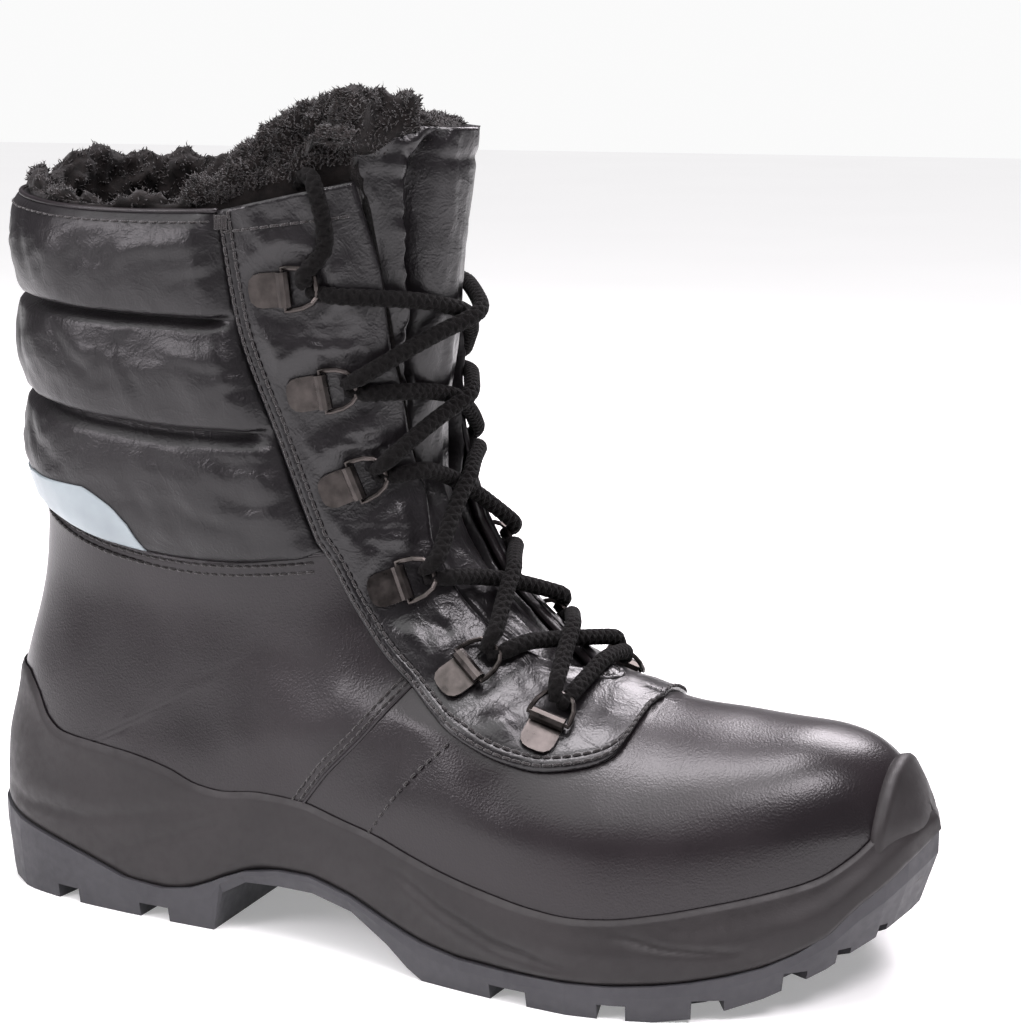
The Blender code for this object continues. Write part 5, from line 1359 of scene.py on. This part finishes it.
def tufts(pile, points, normals, count, length, seed):
    """Short bent tufts of pile scattered over a grid of points [..., row, column, xyz]."""
    rng = np.random.default_rng(seed)
    a, b = points[..., :-1, :-1, :].reshape(-1, 3), points[..., 1:, 1:, :].reshape(-1, 3)
    out_a = normals[..., :-1, :-1, :].reshape(-1, 3)
    c = points[..., 1:, :-1, :].reshape(-1, 3)
    area = np.linalg.norm(np.cross(b - a, c - a), axis=1)
    chosen = rng.choice(len(a), count, p=area / area.sum())
    u, v = rng.random((2, count, 1))
    roots = a[chosen] + (c[chosen] - a[chosen]) * u + (b[chosen] - c[chosen]) * v * u
    outs = out_a[chosen]
    lean = np.stack([waves(roots, 0.009, seed + k) for k in range(1, 4)], axis=-1) * 1.1
    lean += rng.normal(size=(count, 3)) * 0.35
    ways = outs + lean
    ways /= np.linalg.norm(ways, axis=1, keepdims=True)
    curls = np.cross(ways, rng.normal(size=(count, 3))) * 0.5
    sizes = length * rng.uniform(0.6, 1.3, (count, 1))
    base = len(pile.points)
    side = np.cross(ways, (0.3, 0.5, 0.8))
    side /= np.linalg.norm(side, axis=1, keepdims=True)
    other = np.cross(ways, side)
    middles = roots + ways * sizes * 0.55 + curls * sizes * 0.25
    for place, width in ((roots - outs * 0.0004, TUFT_WIDTH), (middles, TUFT_WIDTH * 0.75)):
        for turn in (0.0, 2.1, 4.2):
            pile.points += list(place + (side * math.cos(turn) + other * math.sin(turn)) * width)
    pile.points += list(roots + ways * sizes * 0.85 + curls * sizes * 0.9)
    for i in range(count):
        low = [base + k * count + i for k in range(3)]
        mid = [base + (3 + k) * count + i for k in range(3)]
        tip = base + 6 * count + i
        for k in range(3):
            n = (k + 1) % 3
            pile.faces.append((low[k], low[n], mid[n], mid[k]))
            pile.faces.append((mid[k], mid[n], tip))
        pile.faces.append((low[2], low[1], low[0]))


def make_pile(name, *patches):
    """A piece of pile. A patch is its points, normals, number of tufts, their length, and seed."""
    pile = Pile()
    for patch in patches:
        tufts(pile, *patch)
    # The tufts are drawn in the lighter copy of the fur, a painted highlight
    finish_mesh(name, pile.points, pile.faces, FUR_PAINTED_HIGHLIGHT, "tongue_fabric", keep_normals=True)


def looped(grid, ends):
    """Points and faces of loops [side, row, column, xyz], the last row of which is the first again.
    ends are the columns that are closed off."""
    points, faces = [], []
    for loop in grid:
        rows, columns = loop.shape[0] - 1, loop.shape[1]
        base = len(points)
        points += list(loop[:-1].reshape(-1, 3))
        index = np.arange(rows * columns).reshape(rows, columns) + base
        index = np.concatenate((index, index[:1])).tolist()
        for a, b in zip(index[:-1], index[1:]):
            faces += [(a[j], b[j], b[j + 1], a[j + 1]) for j in range(columns - 1)]
        faces += [tuple(row[end] for row in index[:-1]) for end in ends]
    return points, faces


def lumps_of(points, sizes, seed):
    """Lumps in deep pile: three depths of noise, coarse to fine. A size is its depth and width."""
    return sum(depth * waves(points, width, seed + i) for i, (depth, width) in enumerate(sizes))


# Section of the shaft's lining: fan place, distance inwards and height over the place, in mm
LINING = (
    (18.0, 2.5, 0), (19.0, 2.5, 0), (20.0, 2.5, 0), (20.8, 2.5, 0), (21.0, 2.3, 0.3), (21.0, 2.2, 1.5),
    (21.0, 2.9, 2.7), (21.0, 4.2, 3.4), (21.0, 5.8, 3.2), (21.0, 7.2, 2.2), (21.0, 8.0, 0.6), (20.93, 8.4, 0),
    (20.8, 8.4, 0), (20.65, 8.2, 0), (20.5, 8.0, 0), (20.3, 7.6, 0), (20.1, 7.3, 0), (19.8, 6.9, 0),
    (19.5, 6.5, 0), (19.2, 6.2, 0), (18.8, 5.8, 0), (18.4, 5.4, 0), (18.0, 5.0, 0),
)
LINING_ROWS = 67  # rows of the finer section that it is drawn with


# Height of the pile over the rim at x, in mm: outer side, then inner side
LIP_HEIGHTS = (
    (
        (-40, 7.0), (-25, 4.2), (0, 3.2), (38, 3.4), (54, 6.5), (64, 12.0), (74, 18.0), (84, 23.0), (96, 26.0),
        (112, 24.0),
    ),
    ((-40, 7.0), (-25, 9.5), (-10, 12.0), (0, 12.6), (30, 13.4), (60, 13.6), (90, 13.0), (112, 11.0)),
)


def make_lining():
    """Deep pile round the inside of the shaft, standing a little over the rim."""
    rows = []
    for place, inward, height in LINING:
        points, normals = (part[:, 1] for part in skin(np.array([place - 0.02, place]), 56, 22))
        x = points[..., 0] / MM
        lip = np.stack([
            np.interp(x[k], column(table, 0), column(table, 1)) for k, table in enumerate(LIP_HEIGHTS)
        ])
        stands = np.clip(height / 3.4, 0, 1)
        # Both ends at the throat are rounded off
        end = np.clip((np.arange(lip.shape[1]) - lip.shape[1] + 5) / 4, 0, 1)
        round_end = np.sqrt(1 - end ** 2)
        lip = 1.5 + (lip - 1.5) * (0.55 + 0.45 * round_end)
        inward = 2.5 + (inward - 2.5) * round_end
        extra = np.clip(lip - 3.4, 0, 11) * smooth((place - 19.6) / 1.2) * round_end
        deeper = inward + np.maximum(inward - 2.6, 0) * 0.10 * extra
        points = points - normals * deeper[..., None] * MM
        points[..., 2] += (stands * lip) * MM
        rows.append(points)
    grid = np.array(rows).transpose(1, 0, 2, 3)
    finer = np.linspace(0, len(LINING) - 1, LINING_ROWS)
    grid = np.concatenate([
        np.stack([np.interp(finer, range(len(LINING)), grid[k, :, j, axis]) for axis in range(3)], axis=-1)
        for k in range(2) for j in range(grid.shape[2])
    ]).reshape(2, grid.shape[2], LINING_ROWS, 3).transpose(0, 2, 1, 3)
    closed = np.concatenate((grid, grid[:, :1]), axis=1)
    normals = grid_normals(closed)
    steps = np.arange(LINING_ROWS + 1)
    seen = smooth((steps - 12) / 5) * smooth((LINING_ROWS - steps) / 4)
    lumps = lumps_of(closed, ((0.0022, 0.016), (0.0012, 0.007), (0.0005, 0.003)), 41)
    fur = closed + normals * (lumps * seen[None, :, None])[..., None]
    fur[0, :, 0], fur[1, :, 0] = [(fur[0, :, 0] + fur[1, :, 0]) / 2] * 2
    obj = finish_mesh("fur_lining", *looped(fur, (-1,)), FUR, "tongue_fabric")
    # Tufts stand on the rows that show, from the rim's outer edge over the lip and down inside
    make_pile("fur_lining_pile", (fur[:, 14:62], normals[:, 14:62], 15000, 0.0015, 51))
    # The mound behind the outer gusset has a pile of its own, on the lip's rows from x = 50 mm
    first = int(np.searchsorted(fur[0, 25, :, 0], 0.050))
    make_pile("fur_mound_pile", (fur[:1, 13:46, first:], normals[:1, 13:46, first:], 13000, 0.0017, 55))


def make_tongue_fur():
    """Pile on the back of the tongue, thick at its top, where it wells up behind the folds."""
    low = int(np.searchsorted(tongue_outer[:, tongue_outer.shape[1] // 2, 2], 0.165))
    part, ways, held = tongue_outer[low:, 3:-3], tongue_inwards[low:], tongue_back[low:, 3:-3]
    part, ways, held = part[::2, ::2], ways[::2], held[::2, ::2]
    rows, columns = part.shape[:2]
    up = np.linspace(0, 1, rows)[:, None]
    across = np.linspace(-1, 1, columns)[None, :]
    # Towards the outer side it spreads past the tongue's cut corner, up to the lining's mound
    spread = 1 + 0.55 * smooth((up - 0.72) / 0.25) * smooth((-across - 0.3) / 0.55)
    spread = np.stack([np.ones_like(spread), spread, np.ones_like(spread)], axis=-1)
    part, held = part * spread, held * spread
    thick = 0.0075 + 0.0065 * smooth((up - 0.35) / 0.5) * (1 - 0.3 * np.abs(across) ** 3)
    front = held + ways[:, None] * 0.0001
    back = part + ways[:, None] * (TONGUE_WALL + thick)[..., None]
    lift = np.linspace(0, 1, 13)[1:-1]
    crest = []
    # It stands highest behind the outer gusset and is only a low hem over the middle panel
    bulge = 0.0014 + 0.0085 * smooth((-across[0] - 0.30) / 0.35)
    bulge = bulge + 0.0010 * np.exp(-((across[0] - 0.66) / 0.22) ** 2)
    for t in lift:
        middle = front[-1] * (1 - t) + back[-1] * t
        middle = middle - ways[-1] * 0.0012 * (1 - t)
        middle = middle + np.array((0, 0, 1.0)) * (bulge * math.sin(math.pi * t))[:, None]
        crest.append(middle)
    ring = np.concatenate((front, np.array(crest), back[::-1]))
    closed = np.concatenate((ring, ring[:1]))[None]
    normals = np.zeros_like(closed)
    by_row, by_column = np.gradient(closed[0], axis=0), np.gradient(closed[0], axis=1)
    normals[0] = np.cross(by_row, by_column)
    normals /= np.maximum(np.linalg.norm(normals, axis=-1, keepdims=True), 1e-12)
    if (normals[0, rows + 5, columns // 2] @ (0, 0, 1)) < 0:
        normals = -normals
    steps = np.arange(closed.shape[1])
    seen = smooth((steps - rows + 1) / 3) * smooth((len(steps) - 2 - steps) / 3)
    lumps = lumps_of(closed, ((0.0018, 0.014), (0.0011, 0.006), (0.0005, 0.003)), 61)
    lumps = lumps * (0.45 + 0.55 * smooth((-across[None] - 0.1) / 0.3))
    fur = closed + normals * (lumps * seen[None, :, None])[..., None]
    obj = finish_mesh("tongue_fur", *looped(fur, (0, -1)), FUR, "tongue_fabric")
    patches = [(fur[:, rows - 9:], normals[:, rows - 9:], 10000, 0.0015, 71)]
    # Its two ends have a pile of their own
    half = (len(steps) - 1) // 2
    for end, next_to, seed in ((0, 1, 72), (-1, -2, 73)):
        rim = fur[0, :-1, end]
        out = np.mean(rim - fur[0, :-1, next_to], axis=0)
        front_side, back_side = rim[:half], rim[::-1][:half]
        cap = np.stack([front_side * (1 - t) + back_side * t for t in np.linspace(0, 1, 5)], axis=1)[rows - 14:]
        patches.append((cap, np.broadcast_to(out / np.linalg.norm(out), cap.shape), 3500, 0.0015, seed))
    make_pile("tongue_fur_pile", *patches)


make_lining()
make_tongue_fur()


def make_insole():
    """Felt insole: the frame's own shape, remeshed finely and softly dented by the foot."""
    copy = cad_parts["insole"].data.copy()
    source = bpy.data.objects.new("insole_source", copy)
    bpy.context.scene.collection.objects.link(source)
    source.matrix_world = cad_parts["insole"].matrix_world
    remesh = source.modifiers.new("remesh", "REMESH")
    remesh.mode, remesh.voxel_size = "VOXEL", 0.0016
    shape = source.evaluated_get(bpy.context.evaluated_depsgraph_get()).to_mesh()
    points = np.array([source.matrix_world @ v.co for v in shape.vertices])
    faces = [tuple(p.vertices) for p in shape.polygons]
    bpy.data.objects.remove(source)
    top = smooth((points[:, 2] - points[:, 2].mean()) / 0.002)
    points[:, 2] += top * (0.0004 * waves(points, 0.012, 81) + 0.0005 * waves(points, 0.05, 82))
    finish_mesh("felt_insole", points, faces, FELT, "insole_felt", ["insole"])


make_insole()

# Nodes of the frame that are kept as they are: outsole, plates and rings
for name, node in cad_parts.items():
    if name == "outsole" or "ring" in name or "plate" in name:
        node.data.materials.clear()
        node.data.materials.append(SLATE if name == "outsole" else STEEL)
        bevel = node.modifiers.new("soft_edges", "BEVEL")
        bevel.width = 0.0005 if name == "outsole" else 0.00025
        bevel.segments = 2
        bevel.limit_method = "ANGLE"
        bevel.angle_limit = math.radians(40)


# Floor, lights and surroundings
def make_lamp(kind, name, energy, way, place=(0, 0, 0), **settings):
    light = bpy.data.lights.new(name, kind)
    light.energy = energy
    for key, value in settings.items():
        setattr(light, key, value)
    lamp = bpy.data.objects.new(name, light)
    lamp.location = place
    lamp.rotation_mode = "QUATERNION"
    lamp.rotation_quaternion = way.to_track_quat("-Z", "Y")
    bpy.context.scene.collection.objects.link(lamp)


# Soft square lamps: name, place, point that it faces, size and power
LAMPS = (
    ("key", (0.75, -0.45, 1.15), (0.12, 0, 0.08), 0.42, 10),
    ("fill", (-0.80, -1.05, 0.70), (0.03, 0, 0.10), 0.5, 9),
    ("top", (0.10, 0.05, 1.35), (0.10, 0, 0.1), 0.5, 13),
    ("rim", (0.25, 1.0, 1.0), (0.16, 0, 0.08), 0.6, 16),
)


def make_studio():
    """Pale plain floor, a pale backdrop, four soft lamps and a wide soft sun."""
    bm = bmesh.new()
    bmesh.ops.create_grid(bm, x_segments=2, y_segments=2, size=6)
    mesh = bpy.data.meshes.new("floor")
    bm.to_mesh(mesh)
    bm.free()
    floor = bpy.data.objects.new("floor", mesh)
    bpy.context.scene.collection.objects.link(floor)
    material, tree, shader, place = new_material("pale_floor")
    cloud = texture(tree, "Noise", place, 3, Detail=2)
    tint(tree, shader, "Base Color", cloud.outputs[0], (0.3, (0.86, 0.86, 0.86)), (0.7, (0.88, 0.88, 0.88)))
    set_inputs(shader, Roughness=0.9, Emission_Color=(1, 1, 1, 1), Emission_Strength=0.30)
    mesh.materials.append(material)
    world = bpy.data.worlds.new("studio")
    world.use_nodes = True
    background = world.node_tree.nodes["Background"]
    links, nodes = world.node_tree.links, world.node_tree.nodes
    background.inputs["Color"].default_value = (0.97, 0.91, 0.97, 1)
    background.inputs["Strength"].default_value = 0.17
    # The camera sees a backdrop as pale as the floor, and the boot is lit by the softer studio
    pale = nodes.new("ShaderNodeBackground")
    pale.inputs["Color"].default_value = (0.96, 0.96, 0.96, 1)
    pale.inputs["Strength"].default_value = 1.0
    mix, rays = nodes.new("ShaderNodeMixShader"), nodes.new("ShaderNodeLightPath")
    links.new(rays.outputs["Is Camera Ray"], mix.inputs["Fac"])
    links.new(background.outputs[0], mix.inputs[1])
    links.new(pale.outputs[0], mix.inputs[2])
    links.new(mix.outputs[0], nodes["World Output"].inputs["Surface"])
    bpy.context.scene.world = world
    bpy.context.scene.view_settings.view_transform = "Standard"
    for name, place, aim, size, power in LAMPS:
        way = Vector(aim) - Vector(place)
        make_lamp("AREA", name, power, way, place, shape="SQUARE", size=size, color=(1.0, 0.94, 0.99))
    make_lamp("SUN", "sun", 1.9, Vector((0.25, 0.45, -1.0)), angle=math.radians(60))


make_studio()
